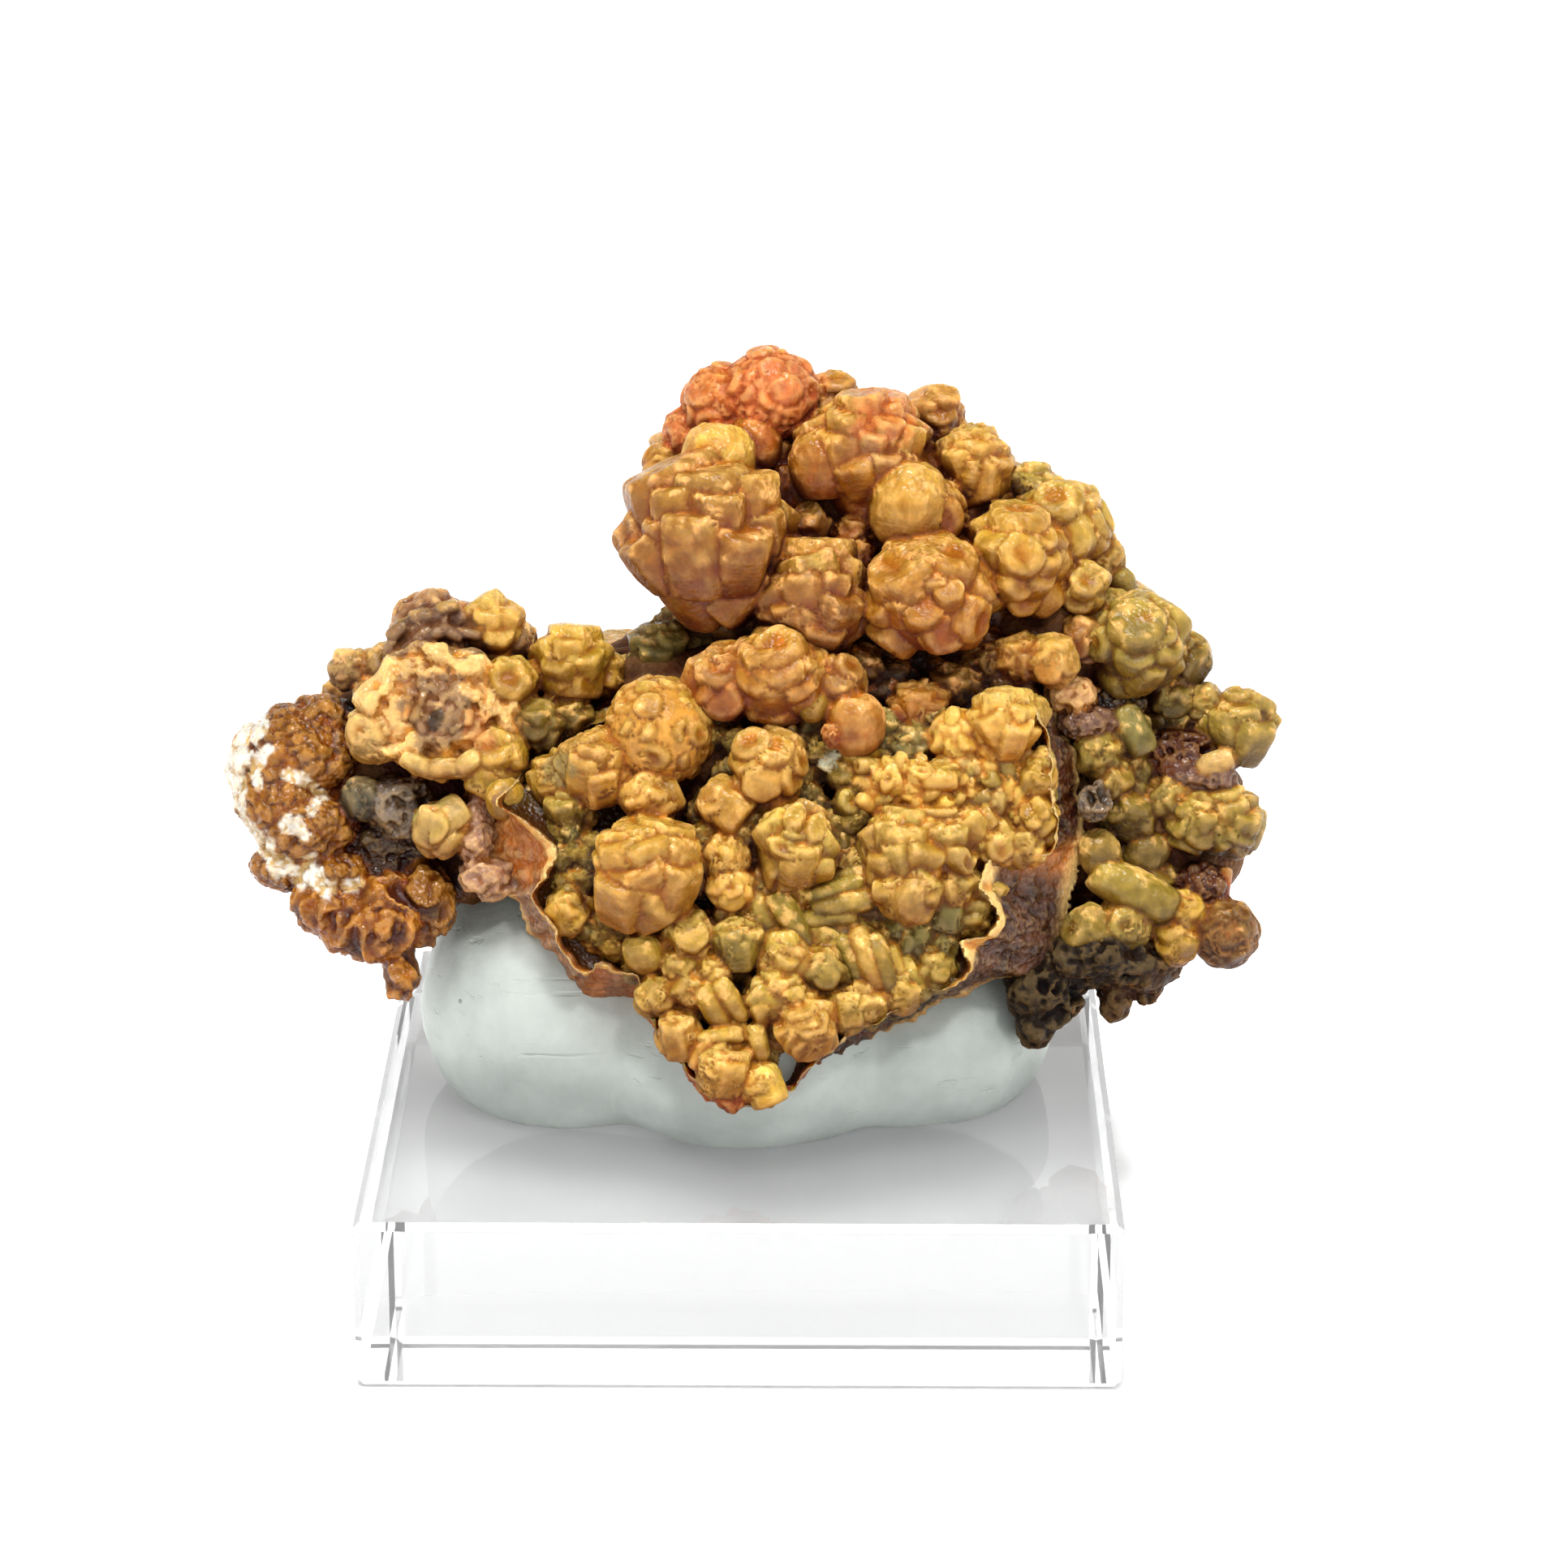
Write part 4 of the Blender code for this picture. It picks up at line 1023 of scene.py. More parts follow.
def back_rows(rng):
    """Smaller groups on the back of the matrix, wherever the large ones leave room."""
    rows = []
    for _ in range(BACK_TRIES):
        lump = INNER_LUMPS[int(rng.integers(len(INNER_LUMPS)))]
        way = unit(rng.normal(size=3))
        radius = rng.uniform(*BACK_SIZES)
        tone = BACK_TONES[int(rng.integers(len(BACK_TONES)))]
        if way[1] < 0.3:
            continue
        u, v = lump.u + way[0] * lump.across, lump.v - way[2] * lump.up
        depth = lump.depth + way[1] * lump.thick / PX_PER_MM
        near = [math.dist((u, v, depth * PX_PER_MM), (row.u, row.v, row.depth * PX_PER_MM)) - 0.72 * row.radius
                for row in BACK + tuple(rows)]
        if min(near) > 0.72 * radius:
            rows.append(Ball(u, v, depth, radius, tone, "pillow" if radius < 40 else "block", 14))
    return tuple(rows)


MAKERS = {"Ball": grown_ball, "Rod": grown_rod, "Lump": grown_lump}

# How enclosed a place is, read from a coarse grid of what is solid, and the factors of painted shade in recesses,
# underneath and in creases
GRID_CELL = 0.5 * MM
GRID_MARGIN = 5 * MM
GRID_BLUR = 3
LOOK_AHEAD = 1.1 * MM
OPEN_RANGE = (0.34, 0.72)
RECESS_SHADE = np.array((0.30, 0.15, 0.04))
UNDERSIDE_SHADE = np.array((0.56, 0.40, 0.20))
CREASE_SHADE = np.array((0.80, 0.52, 0.20))
FINE_ROUNDS = 5
BROAD_ROUNDS = 28
# How far edges pale towards the highlight colour, partly wear and partly painted highlight, and how bright a colour
# has to be for the full effect
EDGE_PALE = 0.24
EDGE_FULL = 0.40


def row_halves(row):
    if isinstance(row, Ball):
        sizes = (row.radius * 0.93,) * 3
    elif isinstance(row, Rod):
        sizes = (row.width,) * 3
    else:
        sizes = (row.across, row.thick, row.up)
    return np.array([float(length_at(size, row.depth)) for size in sizes])


def solid_grid(rows):
    """The share of solid matter round each cell of a grid over the specimen, with the grid's corner."""
    low, high = (np.array(corner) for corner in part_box("pyromorphite_cluster"))
    low = low - GRID_MARGIN
    shape = np.ceil((high + GRID_MARGIN - low) / GRID_CELL).astype(int)
    solid = np.zeros(shape)
    for row in rows:
        centre, halves = seen(row.u, row.v, row.depth), row_halves(row)
        first = np.clip(((centre - halves.max() - low) / GRID_CELL).astype(int), 0, shape)
        last = np.clip(((centre + halves.max() - low) / GRID_CELL).astype(int) + 1, 0, shape)
        if (last <= first).any():
            continue
        cells_here = np.stack(np.meshgrid(*(np.arange(a, b) for a, b in zip(first, last)), indexing="ij"), axis=-1)
        local = (low + (cells_here + 0.5) * GRID_CELL - centre) @ VIEW_AXES / halves
        window = solid[tuple(slice(a, b) for a, b in zip(first, last))]
        np.maximum(window, (local ** 2).sum(axis=-1) < 1, out=window)
    for axis in range(3):
        moved = [np.roll(solid, step, axis=axis) for step in range(-GRID_BLUR, GRID_BLUR + 1)]
        solid = np.mean(moved, axis=0)
    return low, solid


def openness(points, directions, grid):
    """From 0 deep in a recess to 1 on an open surface."""
    low, solid = grid
    place = np.clip((points + directions * LOOK_AHEAD - low) / GRID_CELL - 0.5, 0, np.array(solid.shape) - 1.001)
    base = np.floor(place).astype(int)
    part = place - base
    total = np.zeros(len(points))
    for corner in np.ndindex(2, 2, 2):
        weight = np.prod(np.where(np.array(corner) == 1, part, 1 - part), axis=1)
        index = np.minimum(base + corner, np.array(solid.shape) - 1)
        total += weight * solid[index[:, 0], index[:, 1], index[:, 2]]
    return smoothstep(*OPEN_RANGE, 1 - total)


def mesh_from(name, points, faces, polygons=()):
    mesh = bpy.data.meshes.new(name)
    mesh.from_pydata([], [], [])
    faces = np.asarray(faces, dtype=np.int32)
    extra = [index for polygon in polygons for index in polygon]
    sizes = np.concatenate((np.full(len(faces), faces.shape[1]), [len(polygon) for polygon in polygons]))
    corners = np.concatenate((faces.ravel(), np.array(extra, dtype=np.int32)))
    mesh.vertices.add(len(points))
    mesh.vertices.foreach_set("co", np.asarray(points, dtype=np.float32).ravel())
    mesh.loops.add(len(corners))
    mesh.loops.foreach_set("vertex_index", corners.astype(np.int32))
    mesh.polygons.add(len(sizes))
    starts = np.concatenate(([0], np.cumsum(sizes)[:-1])).astype(np.int32)
    mesh.polygons.foreach_set("loop_start", starts)
    mesh.update(calc_edges=True)
    mesh.validate()
    return mesh


def positions(mesh):
    flat = np.zeros(len(mesh.vertices) * 3, np.float32)
    mesh.vertices.foreach_get("co", flat)
    return flat.reshape(-1, 3).astype(float)


def normals(mesh):
    flat = np.zeros(len(mesh.vertices) * 3, np.float32)
    mesh.vertex_normals.foreach_get("vector", flat)
    return flat.reshape(-1, 3).astype(float)


def set_values(mesh, name, values):
    attribute = mesh.attributes.new(name, "FLOAT", "POINT")
    attribute.data.foreach_set("value", np.asarray(values, dtype=np.float32))


def set_tone(mesh, tone):
    attribute = mesh.attributes.new("tone", "FLOAT_COLOR", "POINT")
    colour = np.concatenate((np.clip(tone, 0.002, 1), np.ones((len(tone), 1))), axis=1)
    attribute.data.foreach_set("color", colour.astype(np.float32).ravel())


def remeshed(name, mesh, voxel, keep):
    """One closed skin round everything in the mesh, thinned where it is flat."""
    source = bpy.data.objects.new(name + "_source", mesh)
    bpy.context.scene.collection.objects.link(source)
    skin = source.modifiers.new("one skin", "REMESH")
    skin.mode = "VOXEL"
    skin.voxel_size = voxel
    skin.use_smooth_shade = True
    if keep < 1:
        thin = source.modifiers.new("thinned", "DECIMATE")
        thin.ratio = keep
    graph = bpy.context.evaluated_depsgraph_get()
    made = bpy.data.meshes.new_from_object(source.evaluated_get(graph))
    bpy.data.objects.remove(source)
    return made


def sunk(mesh, points, directions, rounds):
    """How far each point lies below the smoothed surface round it: above 0 in a groove, below 0 on an edge."""
    ends = np.zeros(len(mesh.edges) * 2, np.int32)
    mesh.edges.foreach_get("vertices", ends)
    first, second = ends.reshape(-1, 2).T
    size = len(points)
    count = np.maximum(np.bincount(first, minlength=size) + np.bincount(second, minlength=size), 1)
    soft = points
    for _ in range(rounds):
        total = [np.bincount(first, soft[second, axis], size) + np.bincount(second, soft[first, axis], size)
                 for axis in range(3)]
        soft = np.stack(total, axis=1) / count[:, None]
    return np.sum((soft - points) * directions, axis=1)


def grown(name, rows, voxel, keep, seed, grid, plate=None):
    """A piece grown from rows of balls, rods and lumps, with its colours and reliefs on its vertices."""
    rng = np.random.default_rng(seed)
    parts = [part for row in rows for part in MAKERS[type(row).__name__](row, rng, voxel)]
    polygons = []
    if plate is not None:
        points, faces, rings, tone = plate
        flat = np.full(len(points), 0.55)
        parts.append(Part(points, np.array(faces), tone, flat, points[:, 2] / MM))
        polygons = rings
    points, faces, tone, relief, along, owner = joined(parts)
    source = mesh_from(name + "_source", points, faces, polygons)
    directions = normals(source)
    made = remeshed(name, source, voxel, keep)
    made.name = name
    tree = kdtree.KDTree(len(points))
    for index, point in enumerate(points.tolist()):
        tree.insert(point, index)
    tree.balance()
    skin = positions(made)
    nearest = np.array([tree.find(point)[1] for point in skin.tolist()])
    offset = np.sum((skin - points[nearest]) * directions[nearest], axis=1)
    offset = np.clip(offset, -voxel, voxel)
    tone, relief, along, owner = (values[nearest] for values in (tone, relief, along, owner))
    crystals = owner >= 0
    smooth = skin - directions[nearest] * offset[:, None]
    if crystals.any():
        growths = [part.growth for part in parts if part.growth is not None]
        made_values = finished(skin[crystals], owner[crystals], growths, voxel)
        smooth[crystals], tone[crystals], relief[crystals], along[crystals] = made_values
    made.vertices.foreach_set("co", smooth.astype(np.float32).ravel())
    made.update()
    tone = painted(smooth, tone)
    directions = normals(made)
    fine = sunk(made, smooth, directions, FINE_ROUNDS) / voxel
    broad = sunk(made, smooth, directions, BROAD_ROUNDS) / voxel
    # Painted shade: colour darker and more saturated in creases and grooves
    crease_shade = smoothstep(-0.05, 0.50, fine + 0.25 * np.clip(broad, -1, 1))[:, None]
    # Edges pale: partly wear, partly painted highlight
    edge = smoothstep(0.12, 0.45, -fine)[:, None]
    tone = tone * (1 + (CREASE_SHADE - 1) * crease_shade)
    own = np.clip(tone.max(axis=1, keepdims=True) / EDGE_FULL, 0, 1)
    tone = tone + (PAINTED_HIGHLIGHT - tone) * EDGE_PALE * edge * (0.3 + 0.7 * own ** 2)
    # Painted shade in recesses, where the grid round a place is mostly solid
    shade = openness(smooth, directions, grid)[:, None]
    # Painted shade: surfaces that face down are darker
    lit = smoothstep(-0.85, 0.25, directions[:, 2])[:, None]
    set_tone(made, tone * (RECESS_SHADE + (1 - RECESS_SHADE) * shade) * (UNDERSIDE_SHADE + (1 - UNDERSIDE_SHADE) * lit))
    set_values(made, "relief", relief)
    set_values(made, "along", along)
    obj = bpy.data.objects.new(name, made)
    bpy.context.scene.collection.objects.link(obj)
    print(name, "source points", len(points), "triangles", sum(len(face.vertices) - 2 for face in made.polygons))
    return obj


PATCHES = (
    Patch(((322, 893), (303, 915), (290, 945), (293, 975), (308, 1005), (318, 1032)), 10.6, 16, "chalk", 1.0),
    Patch(((330, 925), (314, 950), (320, 985)), 9.6, 8, "chalk", 1.0),
    Patch(((358, 954), (380, 962), (396, 982), (384, 1002)), 9.2, 9, "chalk", 1.0),
    Patch(((358, 1014), (374, 1028)), 9.2, 13, "chalk", 1.0),
    Patch(((326, 1045), (345, 1066), (372, 1082)), 9.8, 13, "chalk", 1.0),
    Patch(((384, 1072), (400, 1096)), 9.4, 14, "chalk", 1.0),
    Patch(((430, 1094), (444, 1086)), 9.2, 8, "chalk", 1.0),
    Patch(((690, 945),), 6.6, 20, "sage", 0.8),
    Patch(((1078, 548),), 6.6, 26, "tan", 0.5),
    Patch(((1095, 498),), 7.4, 44, "pink", 0.5),
    Patch(((955, 480),), 9.0, 50, "pink", 0.5),
    Patch(((860, 500),), 10.4, 60, "orange", 0.35),
    Patch(((516, 856), (550, 858), (560, 886), (534, 900)), 7.0, 26, "plum", 0.75),
    Patch(((541, 878), (532, 898)), 7.0, 8, "umber", 0.9),
    Patch(((505, 850), (512, 866)), 7.2, 14, "rust", 0.6),
    Patch(((586, 892), (592, 906)), 7.2, 18, "flesh", 0.7),
    Patch(((496, 790), (530, 772), (578, 786)), 8.6, 22, "plum", 0.8),
)
DEPTH_WEIGHT = 0.4


def as_seen(points):
    """Each point as pixels across and down and a depth in mm: the reverse of seen."""
    local = (points - np.array((0.0, BLOCK_FRONT, BLOCK_TOP))) @ VIEW_AXES / MM
    zoom = 1 + local[:, 1] / VIEW_DISTANCE
    across = VIEW_CENTRE[0] + (local[:, 0] - VIEW_CENTRE[0]) / zoom
    above = VIEW_CENTRE[1] + (local[:, 2] - VIEW_CENTRE[1]) / zoom
    return np.stack((ZERO_U + across * PX_PER_MM, ZERO_V - above * PX_PER_MM, local[:, 1]), axis=1)


def painted(points, tone):
    """Crusts and stains that lie over the growth, each along a path and with an uneven edge."""
    edge = rough_noise(points / MM / 0.7, 3, 91)
    place = as_seen(points) * (1, 1, PX_PER_MM * DEPTH_WEIGHT)
    for patch in PATCHES:
        path = np.array([(u, v, patch.depth * PX_PER_MM * DEPTH_WEIGHT) for u, v in patch.path], float)
        away = np.full(len(points), np.inf)
        for start, end in zip(path[:-1] if len(path) > 1 else path, path[1:] if len(path) > 1 else path):
            way = end - start
            share = np.clip((place - start) @ way / max(way @ way, 1.0), 0, 1)
            away = np.minimum(away, np.linalg.norm(place - start - share[:, None] * way, axis=1))
        share = patch.amount * smoothstep(1.15, 0.85, away / patch.radius + 0.55 * edge)
        top, deep = TONES[patch.tone]
        fine = np.clip(0.75 + 0.25 * edge, 0, 1)[:, None]
        target = deep + (top - deep) * fine
        tone = tone + (target - tone) * share[:, None]
    return tone


def new_material(name):
    made = bpy.data.materials.new(name)
    made.use_nodes = True
    return made, made.node_tree.nodes, made.node_tree.links


def add_node(nodes, kind, **settings):
    node = nodes.new(kind)
    for name, value in settings.items():
        setattr(node, name, value)
    return node


def noise_texture(nodes, links, coordinates, scale, detail=3.0, roughness=0.55):
    texture = add_node(nodes, "ShaderNodeTexNoise")
    texture.inputs["Scale"].default_value = scale
    texture.inputs["Detail"].default_value = detail
    texture.inputs["Roughness"].default_value = roughness
    links.new(coordinates, texture.inputs["Vector"])
    return texture


def ramp(nodes, links, value, low, high, low_to=0.0, high_to=1.0):
    node = add_node(nodes, "ShaderNodeMapRange")
    node.inputs["From Min"].default_value = low
    node.inputs["From Max"].default_value = high
    node.inputs["To Min"].default_value = low_to
    node.inputs["To Max"].default_value = high_to
    links.new(value, node.inputs["Value"])
    return node.outputs["Result"]


def mixed(nodes, links, blend, factor, first, second):
    node = add_node(nodes, "ShaderNodeMix", data_type="RGBA", blend_type=blend)
    for socket, value in (("Factor", factor), ("A", first), ("B", second)):
        target = [entry for entry in node.inputs if entry.name == socket and entry.enabled][0]
        if isinstance(value, (int, float)):
            target.default_value = value
        elif isinstance(value, tuple):
            target.default_value = value
        else:
            links.new(value, target)
    return [entry for entry in node.outputs if entry.enabled][0]


def mineral_material(name, specular, dull, bright):
    """Crystal or matrix: colours from the growth, with mottling, growth lines and a fine uneven skin."""
    made, nodes, links = new_material(name)
    shader = nodes["Principled BSDF"]
    coordinates = add_node(nodes, "ShaderNodeTexCoord").outputs["Object"]
    tone = add_node(nodes, "ShaderNodeAttribute", attribute_name="tone").outputs["Color"]
    relief = add_node(nodes, "ShaderNodeAttribute", attribute_name="relief").outputs["Fac"]
    along = add_node(nodes, "ShaderNodeAttribute", attribute_name="along").outputs["Fac"]

    mottle = noise_texture(nodes, links, coordinates, 1500.0, 2.0, 0.6).outputs["Fac"]
    pale = ramp(nodes, links, mottle, 0.35, 0.75, 0.80, 1.22)
    grey = add_node(nodes, "ShaderNodeCombineColor")
    for channel in ("Red", "Green", "Blue"):
        links.new(pale, grey.inputs[channel])
    colour = mixed(nodes, links, "MULTIPLY", 1.0, tone, grey.outputs["Color"])

    lines = add_node(nodes, "ShaderNodeTexNoise", noise_dimensions="1D")
    lines.inputs["Scale"].default_value = 5.0
    lines.inputs["Detail"].default_value = 2.0
    links.new(along, lines.inputs["W"])
    fine = noise_texture(nodes, links, coordinates, 4200.0, 1.0, 0.6).outputs["Fac"]
    facets = add_node(nodes, "ShaderNodeTexVoronoi", feature="F1")
    facets.inputs["Scale"].default_value = 3600.0
    links.new(coordinates, facets.inputs["Vector"])
    line_height = add_node(nodes, "ShaderNodeMath", operation="MULTIPLY")
    line_height.inputs[1].default_value = 0.45
    links.new(lines.outputs["Fac"], line_height.inputs[0])
    fine_height = add_node(nodes, "ShaderNodeMath", operation="ADD")
    links.new(line_height.outputs[0], fine_height.inputs[0])
    links.new(fine, fine_height.inputs[1])
    facet_height = add_node(nodes, "ShaderNodeMath", operation="MULTIPLY_ADD")
    sugar_and_highlight = add_node(nodes, "ShaderNodeMath", operation="MULTIPLY")
    links.new(facets.outputs["Distance"], sugar_and_highlight.inputs[0])
    links.new(ramp(nodes, links, relief, 0.0, 1.0, 0.4, 2.4), sugar_and_highlight.inputs[1])
    facet_height.inputs[1].default_value = 1.0
    links.new(sugar_and_highlight.outputs[0], facet_height.inputs[0])
    links.new(fine_height.outputs[0], facet_height.inputs[2])
    bump = add_node(nodes, "ShaderNodeBump")
    bump.inputs["Strength"].default_value = 0.55
    bump.inputs["Distance"].default_value = 0.0001
    links.new(facet_height.outputs[0], bump.inputs["Height"])

    sheen = noise_texture(nodes, links, coordinates, 900.0, 1.0, 0.6).outputs["Fac"]
    waxy = ramp(nodes, links, sheen, 0.35, 0.7, dull, bright)
    gloss = add_node(nodes, "ShaderNodeMath", operation="MULTIPLY_ADD")
    gloss.inputs[1].default_value = -0.22
    links.new(relief, gloss.inputs[0])
    links.new(waxy, gloss.inputs[2])
    links.new(colour, shader.inputs["Base Color"])
    links.new(gloss.outputs[0], shader.inputs["Roughness"])
    links.new(bump.outputs["Normal"], shader.inputs["Normal"])
    shader.inputs["IOR"].default_value = 1.45
    shader.inputs["Specular IOR Level"].default_value = specular
    shader.inputs["Subsurface Weight"].default_value = 0.35
    shader.inputs["Subsurface Radius"].default_value = (1.0, 0.5, 0.16)
    shader.inputs["Subsurface Scale"].default_value = 0.0007
    return made


def tack_material():
    """Pale putty: soft, with faint smears, scratches and a few dark specks."""
    made, nodes, links = new_material("putty")
    shader = nodes["Principled BSDF"]
    coordinates = add_node(nodes, "ShaderNodeTexCoord").outputs["Object"]
    smear = noise_texture(nodes, links, coordinates, 220.0, 4.0, 0.6).outputs["Fac"]
    blend = ramp(nodes, links, smear, 0.3, 0.7)
    colour = mixed(nodes, links, "MIX", blend, (0.345, 0.375, 0.350, 1.0), (0.485, 0.525, 0.490, 1.0))
    specks = add_node(nodes, "ShaderNodeTexVoronoi", feature="F1")
    specks.inputs["Scale"].default_value = 420.0
    links.new(coordinates, specks.inputs["Vector"])
    speck = ramp(nodes, links, specks.outputs["Distance"], 0.05, 0.075, 1.0, 0.0)
    some = noise_texture(nodes, links, coordinates, 150.0, 1.0, 0.5).outputs["Fac"]
    chosen = add_node(nodes, "ShaderNodeMath", operation="MULTIPLY")
    links.new(speck, chosen.inputs[0])
    links.new(ramp(nodes, links, some, 0.52, 0.6), chosen.inputs[1])
    colour = mixed(nodes, links, "MIX", chosen.outputs[0], colour, (0.06, 0.055, 0.05, 1.0))
    stretch = add_node(nodes, "ShaderNodeMapping")
    stretch.inputs["Rotation"].default_value = (0.0, 0.35, 0.1)
    stretch.inputs["Scale"].default_value = (30.0, 700.0, 1300.0)
    links.new(coordinates, stretch.inputs["Vector"])
    scratch = noise_texture(nodes, links, stretch.outputs["Vector"], 1.0, 3.0, 0.6).outputs["Fac"]
    deep_scratch = ramp(nodes, links, scratch, 0.62, 0.72, 1.0, 0.0)
    soft = noise_texture(nodes, links, coordinates, 700.0, 5.0, 0.6).outputs["Fac"]
    height = add_node(nodes, "ShaderNodeMath", operation="MULTIPLY_ADD")
    height.inputs[1].default_value = 1.1
    links.new(deep_scratch, height.inputs[0])
    links.new(soft, height.inputs[2])
    bump = add_node(nodes, "ShaderNodeBump")
    bump.inputs["Strength"].default_value = 0.45
    bump.inputs["Distance"].default_value = 0.0002
    links.new(height.outputs[0], bump.inputs["Height"])
    links.new(colour, shader.inputs["Base Color"])
    links.new(ramp(nodes, links, soft, 0.3, 0.7, 0.42, 0.6), shader.inputs["Roughness"])
    links.new(bump.outputs["Normal"], shader.inputs["Normal"])
    shader.inputs["Subsurface Weight"].default_value = 0.15
    shader.inputs["Subsurface Radius"].default_value = (1.0, 0.9, 0.8)
    shader.inputs["Subsurface Scale"].default_value = 0.0006
    return made


def acrylic_material():
    """Clear polished acrylic, its polish a little uneven in broad patches."""
    made, nodes, links = new_material("clear_acrylic_block")
    shader = nodes["Principled BSDF"]
    coordinates = add_node(nodes, "ShaderNodeTexCoord").outputs["Object"]
    wear = noise_texture(nodes, links, coordinates, 160.0, 3.0, 0.6).outputs["Fac"]
    links.new(ramp(nodes, links, wear, 0.4, 0.8, 0.0, 0.012), shader.inputs["Roughness"])
    shader.inputs["Base Color"].default_value = (0.985, 0.99, 0.99, 1.0)
    shader.inputs["Transmission Weight"].default_value = 0.9
    shader.inputs["IOR"].default_value = 1.49
    return made


TACK_LUMPS = (
    (-8.8, 0.2, 13.4, 8.0, 8.6, 7.6),
    (0.4, -1.0, 12.2, 9.0, 9.6, 6.8),
    (8.2, 0.6, 12.0, 7.8, 8.6, 6.0),
)
TACK_VOXEL = 0.4 * MM
TACK_FOOT = BLOCK_TOP + 0.00002


def build_tack():
    """The pressed lump of tack, flat where it sits on the block."""
    rng = np.random.default_rng(5)
    directions, faces = round_template(6)
    points, all_faces = [], []
    for index, (across, back, up, half_across, half_back, half_up) in enumerate(TACK_LUMPS):
        shift = rng.uniform(-50, 50, 3)
        place = directions * (half_across, half_back, half_up)
        dent = 1 + 0.05 * noise(place / 3.5 + shift, index) + 0.012 * rough_noise(place / 1.2 + shift, 2, 9)
        points.append((place * dent[:, None] + (across, back, up)) * MM)
        all_faces.append(faces + index * len(directions))
    source = mesh_from("tack_source", np.concatenate(points), np.concatenate(all_faces))
    made = remeshed("tack", source, TACK_VOXEL, 1.0)
    obj = bpy.data.objects.new("tack_lump", made)
    bpy.context.scene.collection.objects.link(obj)
    smooth = obj.modifiers.new("pressed", "SMOOTH")
    smooth.iterations = 12
    graph = bpy.context.evaluated_depsgraph_get()
    obj.data = bpy.data.meshes.new_from_object(obj.evaluated_get(graph))
    obj.modifiers.clear()
    skin = positions(obj.data)
    skin[:, 2] = np.maximum(skin[:, 2], TACK_FOOT)
    obj.data.vertices.foreach_set("co", skin.astype(np.float32).ravel())
    obj.data.update()
    return obj


def area_light(name, location, size, power, target=(0.0, 0.0, 0.022)):
    light = bpy.data.lights.new(name, "AREA")
    light.shape = "RECTANGLE"
    light.size, light.size_y = size
    light.energy = power
    obj = bpy.data.objects.new(name, light)
    obj.location = location
    obj.rotation_euler = (Vector(target) - Vector(location)).to_track_quat("-Z", "Y").to_euler()
    bpy.context.scene.collection.objects.link(obj)
    return obj


def build_camera():
    camera = bpy.data.cameras.new("camera")
    camera.sensor_width = 36.0
    camera.lens = 6719 / 1932 * 36
    camera.clip_start = 0.01
    obj = bpy.data.objects.new("camera", camera)
    obj.location = (0.0042354, -0.2654055, 0.1176047)
    obj.rotation_euler = (math.radians(90 - 19.19), 0.0, math.radians(0.4593))
    bpy.context.scene.collection.objects.link(obj)
    bpy.context.scene.camera = obj


# The surround is white low down and dimmer overhead, as heights on a unit ball and as strengths
SURROUND_HEIGHTS = (0.35, 0.52)
SURROUND_LIGHT = (1.3, 0.18)
# How strongly the floor glows under and outside the block, and where the glow starts: painted light
FLOOR_GLOW = (0.0, 0.7)
GLOW_RANGE = (0.0185, 0.0215)


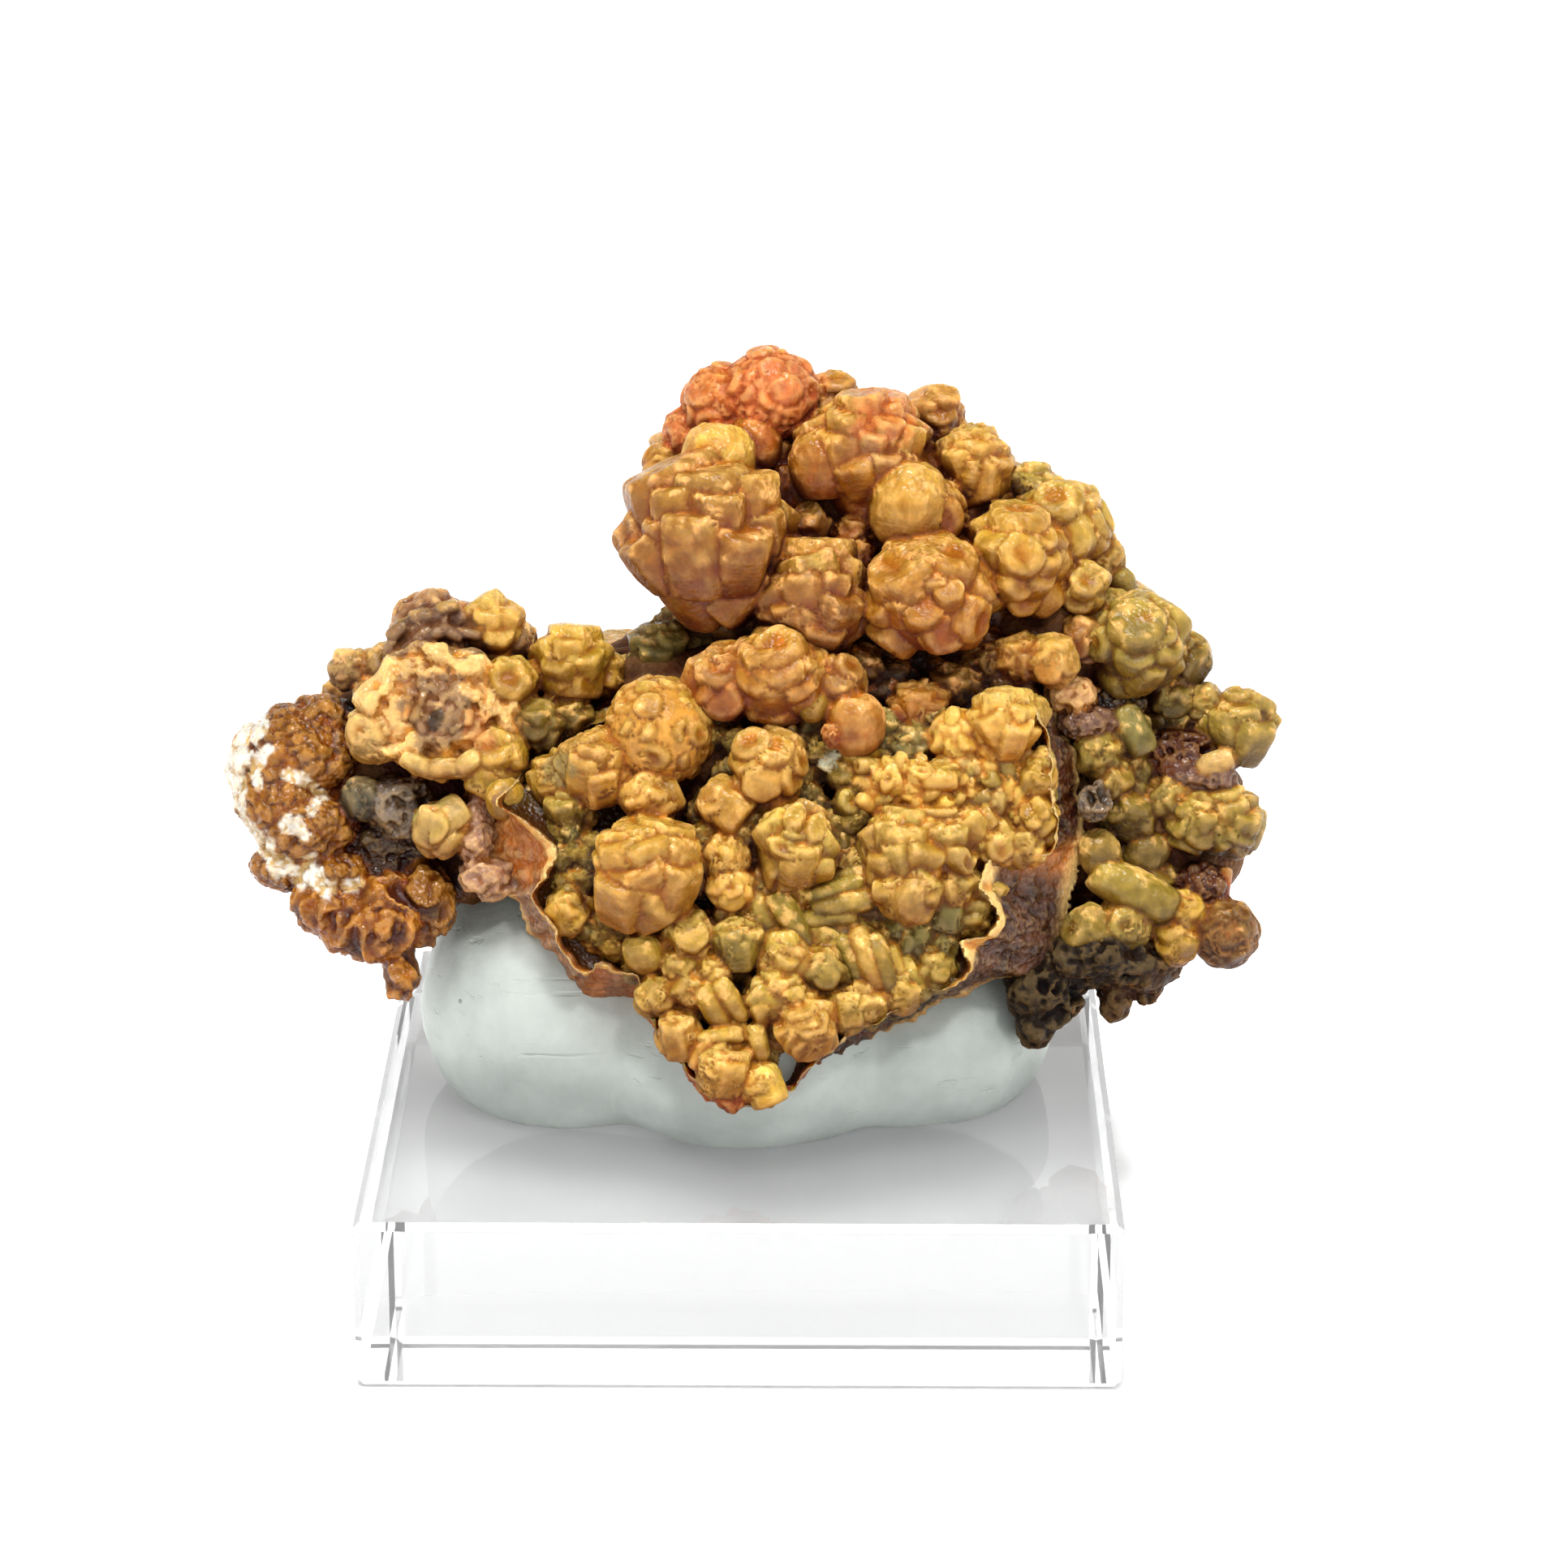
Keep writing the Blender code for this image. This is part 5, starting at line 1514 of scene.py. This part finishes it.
def build_studio():
    """A pale floor that glows outside the block, painted light that washes out shadows there; an overhead soft box, a
    weaker front fill and a white surround, brighter low down than overhead.
    """
    shape = bmesh.new()
    bmesh.ops.create_grid(shape, x_segments=1, y_segments=1, size=3.0)
    mesh = bpy.data.meshes.new("floor")
    shape.to_mesh(mesh)
    shape.free()
    floor = bpy.data.objects.new("floor", mesh)
    floor.location.z = -FLOOR_GAP
    bpy.context.scene.collection.objects.link(floor)
    made, nodes, links = new_material("pale_floor")
    shader = nodes["Principled BSDF"]
    coordinates = add_node(nodes, "ShaderNodeTexCoord").outputs["Object"]
    paper = noise_texture(nodes, links, coordinates, 40.0, 4.0, 0.6).outputs["Fac"]
    colour = mixed(nodes, links, "MIX", ramp(nodes, links, paper, 0.3, 0.7), (0.88, 0.89, 0.89, 1.0), (0.92, 0.92, 0.92, 1.0))
    links.new(colour, shader.inputs["Base Color"])
    shader.inputs["Roughness"].default_value = 0.9
    shader.inputs["Emission Color"].default_value = (1.0, 1.0, 1.0, 1.0)
    apart = add_node(nodes, "ShaderNodeVectorMath", operation="ABSOLUTE")
    links.new(coordinates, apart.inputs[0])
    sides = add_node(nodes, "ShaderNodeSeparateXYZ")
    links.new(apart.outputs["Vector"], sides.inputs[0])
    away = add_node(nodes, "ShaderNodeMath", operation="MAXIMUM")
    links.new(sides.outputs["X"], away.inputs[0])
    links.new(sides.outputs["Y"], away.inputs[1])
    links.new(ramp(nodes, links, away.outputs[0], *GLOW_RANGE, *FLOOR_GLOW), shader.inputs["Emission Strength"])
    mesh.materials.append(made)

    world = bpy.data.worlds.new("surround")
    world.use_nodes = True
    nodes, links = world.node_tree.nodes, world.node_tree.links
    way = add_node(nodes, "ShaderNodeTexCoord").outputs["Generated"]
    height = add_node(nodes, "ShaderNodeSeparateXYZ")
    links.new(way, height.inputs[0])
    links.new(ramp(nodes, links, height.outputs["Z"], *SURROUND_HEIGHTS, *SURROUND_LIGHT),
              nodes["Background"].inputs["Strength"])
    nodes["Background"].inputs["Color"].default_value = (1.0, 1.0, 1.0, 1.0)
    bpy.context.scene.world = world
    area_light("overhead", (-0.06, -0.12, 0.55), (0.20, 0.20), 2.9)
    area_light("key", (0.12, -0.30, 0.42), (0.05, 0.05), 0.9)
    bpy.context.scene.view_settings.view_transform = "Standard"


def dress(obj, material, node):
    obj.data.materials.clear()
    obj.data.materials.append(material)
    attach(obj, "root")
    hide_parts(node)


def main():
    build_camera()
    build_studio()
    crystal_look = mineral_material("pyromorphite_mineral", 0.35, 0.52, 0.26)
    matrix_look = mineral_material("spongy_matrix", 0.10, 0.80, 0.55)
    rng = np.random.default_rng(17)
    fill = [field_rows(field, rng) for field in FIELDS]
    regions = (
        ("crystals_upper", UPPER, 0.125, 0.62, 1, None),
        ("crystals_middle", MIDDLE + FILLERS, 0.13, 0.6, 2, None),
        ("crystals_plate_left", PLATE_LEFT + PLATE_LEFT_RODS + tuple(fill[0] + fill[1]), 0.125, 0.8, 3, None),
        ("crystals_plate_right", PLATE_RIGHT + PLATE_RIGHT_RODS + tuple(fill[2] + fill[3] + fill[4] + fill[5]),
         0.125, 0.8, 4, None),
        ("broken_plate", (), 0.15, 0.5, 5, broken_plate(rng)),
        ("crystals_left", LEFT + LEFT_LUMPS + rim_rows(LEFT_RIMS, rng), 0.14, 0.75, 6, None),
        ("crystals_right", RIGHT + RIGHT_RODS + RIGHT_LUMPS, 0.14, 0.8, 7, None),
        ("dark_matrix", MATRIX_LUMPS, 0.16, 0.8, 8, None),
        ("inner_matrix", INNER_LUMPS, 0.32, 0.35, 9, None),
        ("crystals_back", BACK + back_rows(rng), 0.2, 0.38, 10, None),
    )
    rows = [row for region in regions for row in region[1]]
    grid = solid_grid(rows)
    for name, rows, voxel, keep, seed, extra in regions:
        start = time.time()
        piece = grown(name, rows, voxel * MM, keep, seed, grid, extra)
        print(name, "took", round(time.time() - start, 1))
        look = matrix_look if "matrix" in name else crystal_look
        dress(piece, look, "pyromorphite_cluster")
    dress(build_tack(), tack_material(), "mineral_tack")
    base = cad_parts["acrylic_base"]
    base.data.materials.clear()
    base.data.materials.append(acrylic_material())


main()
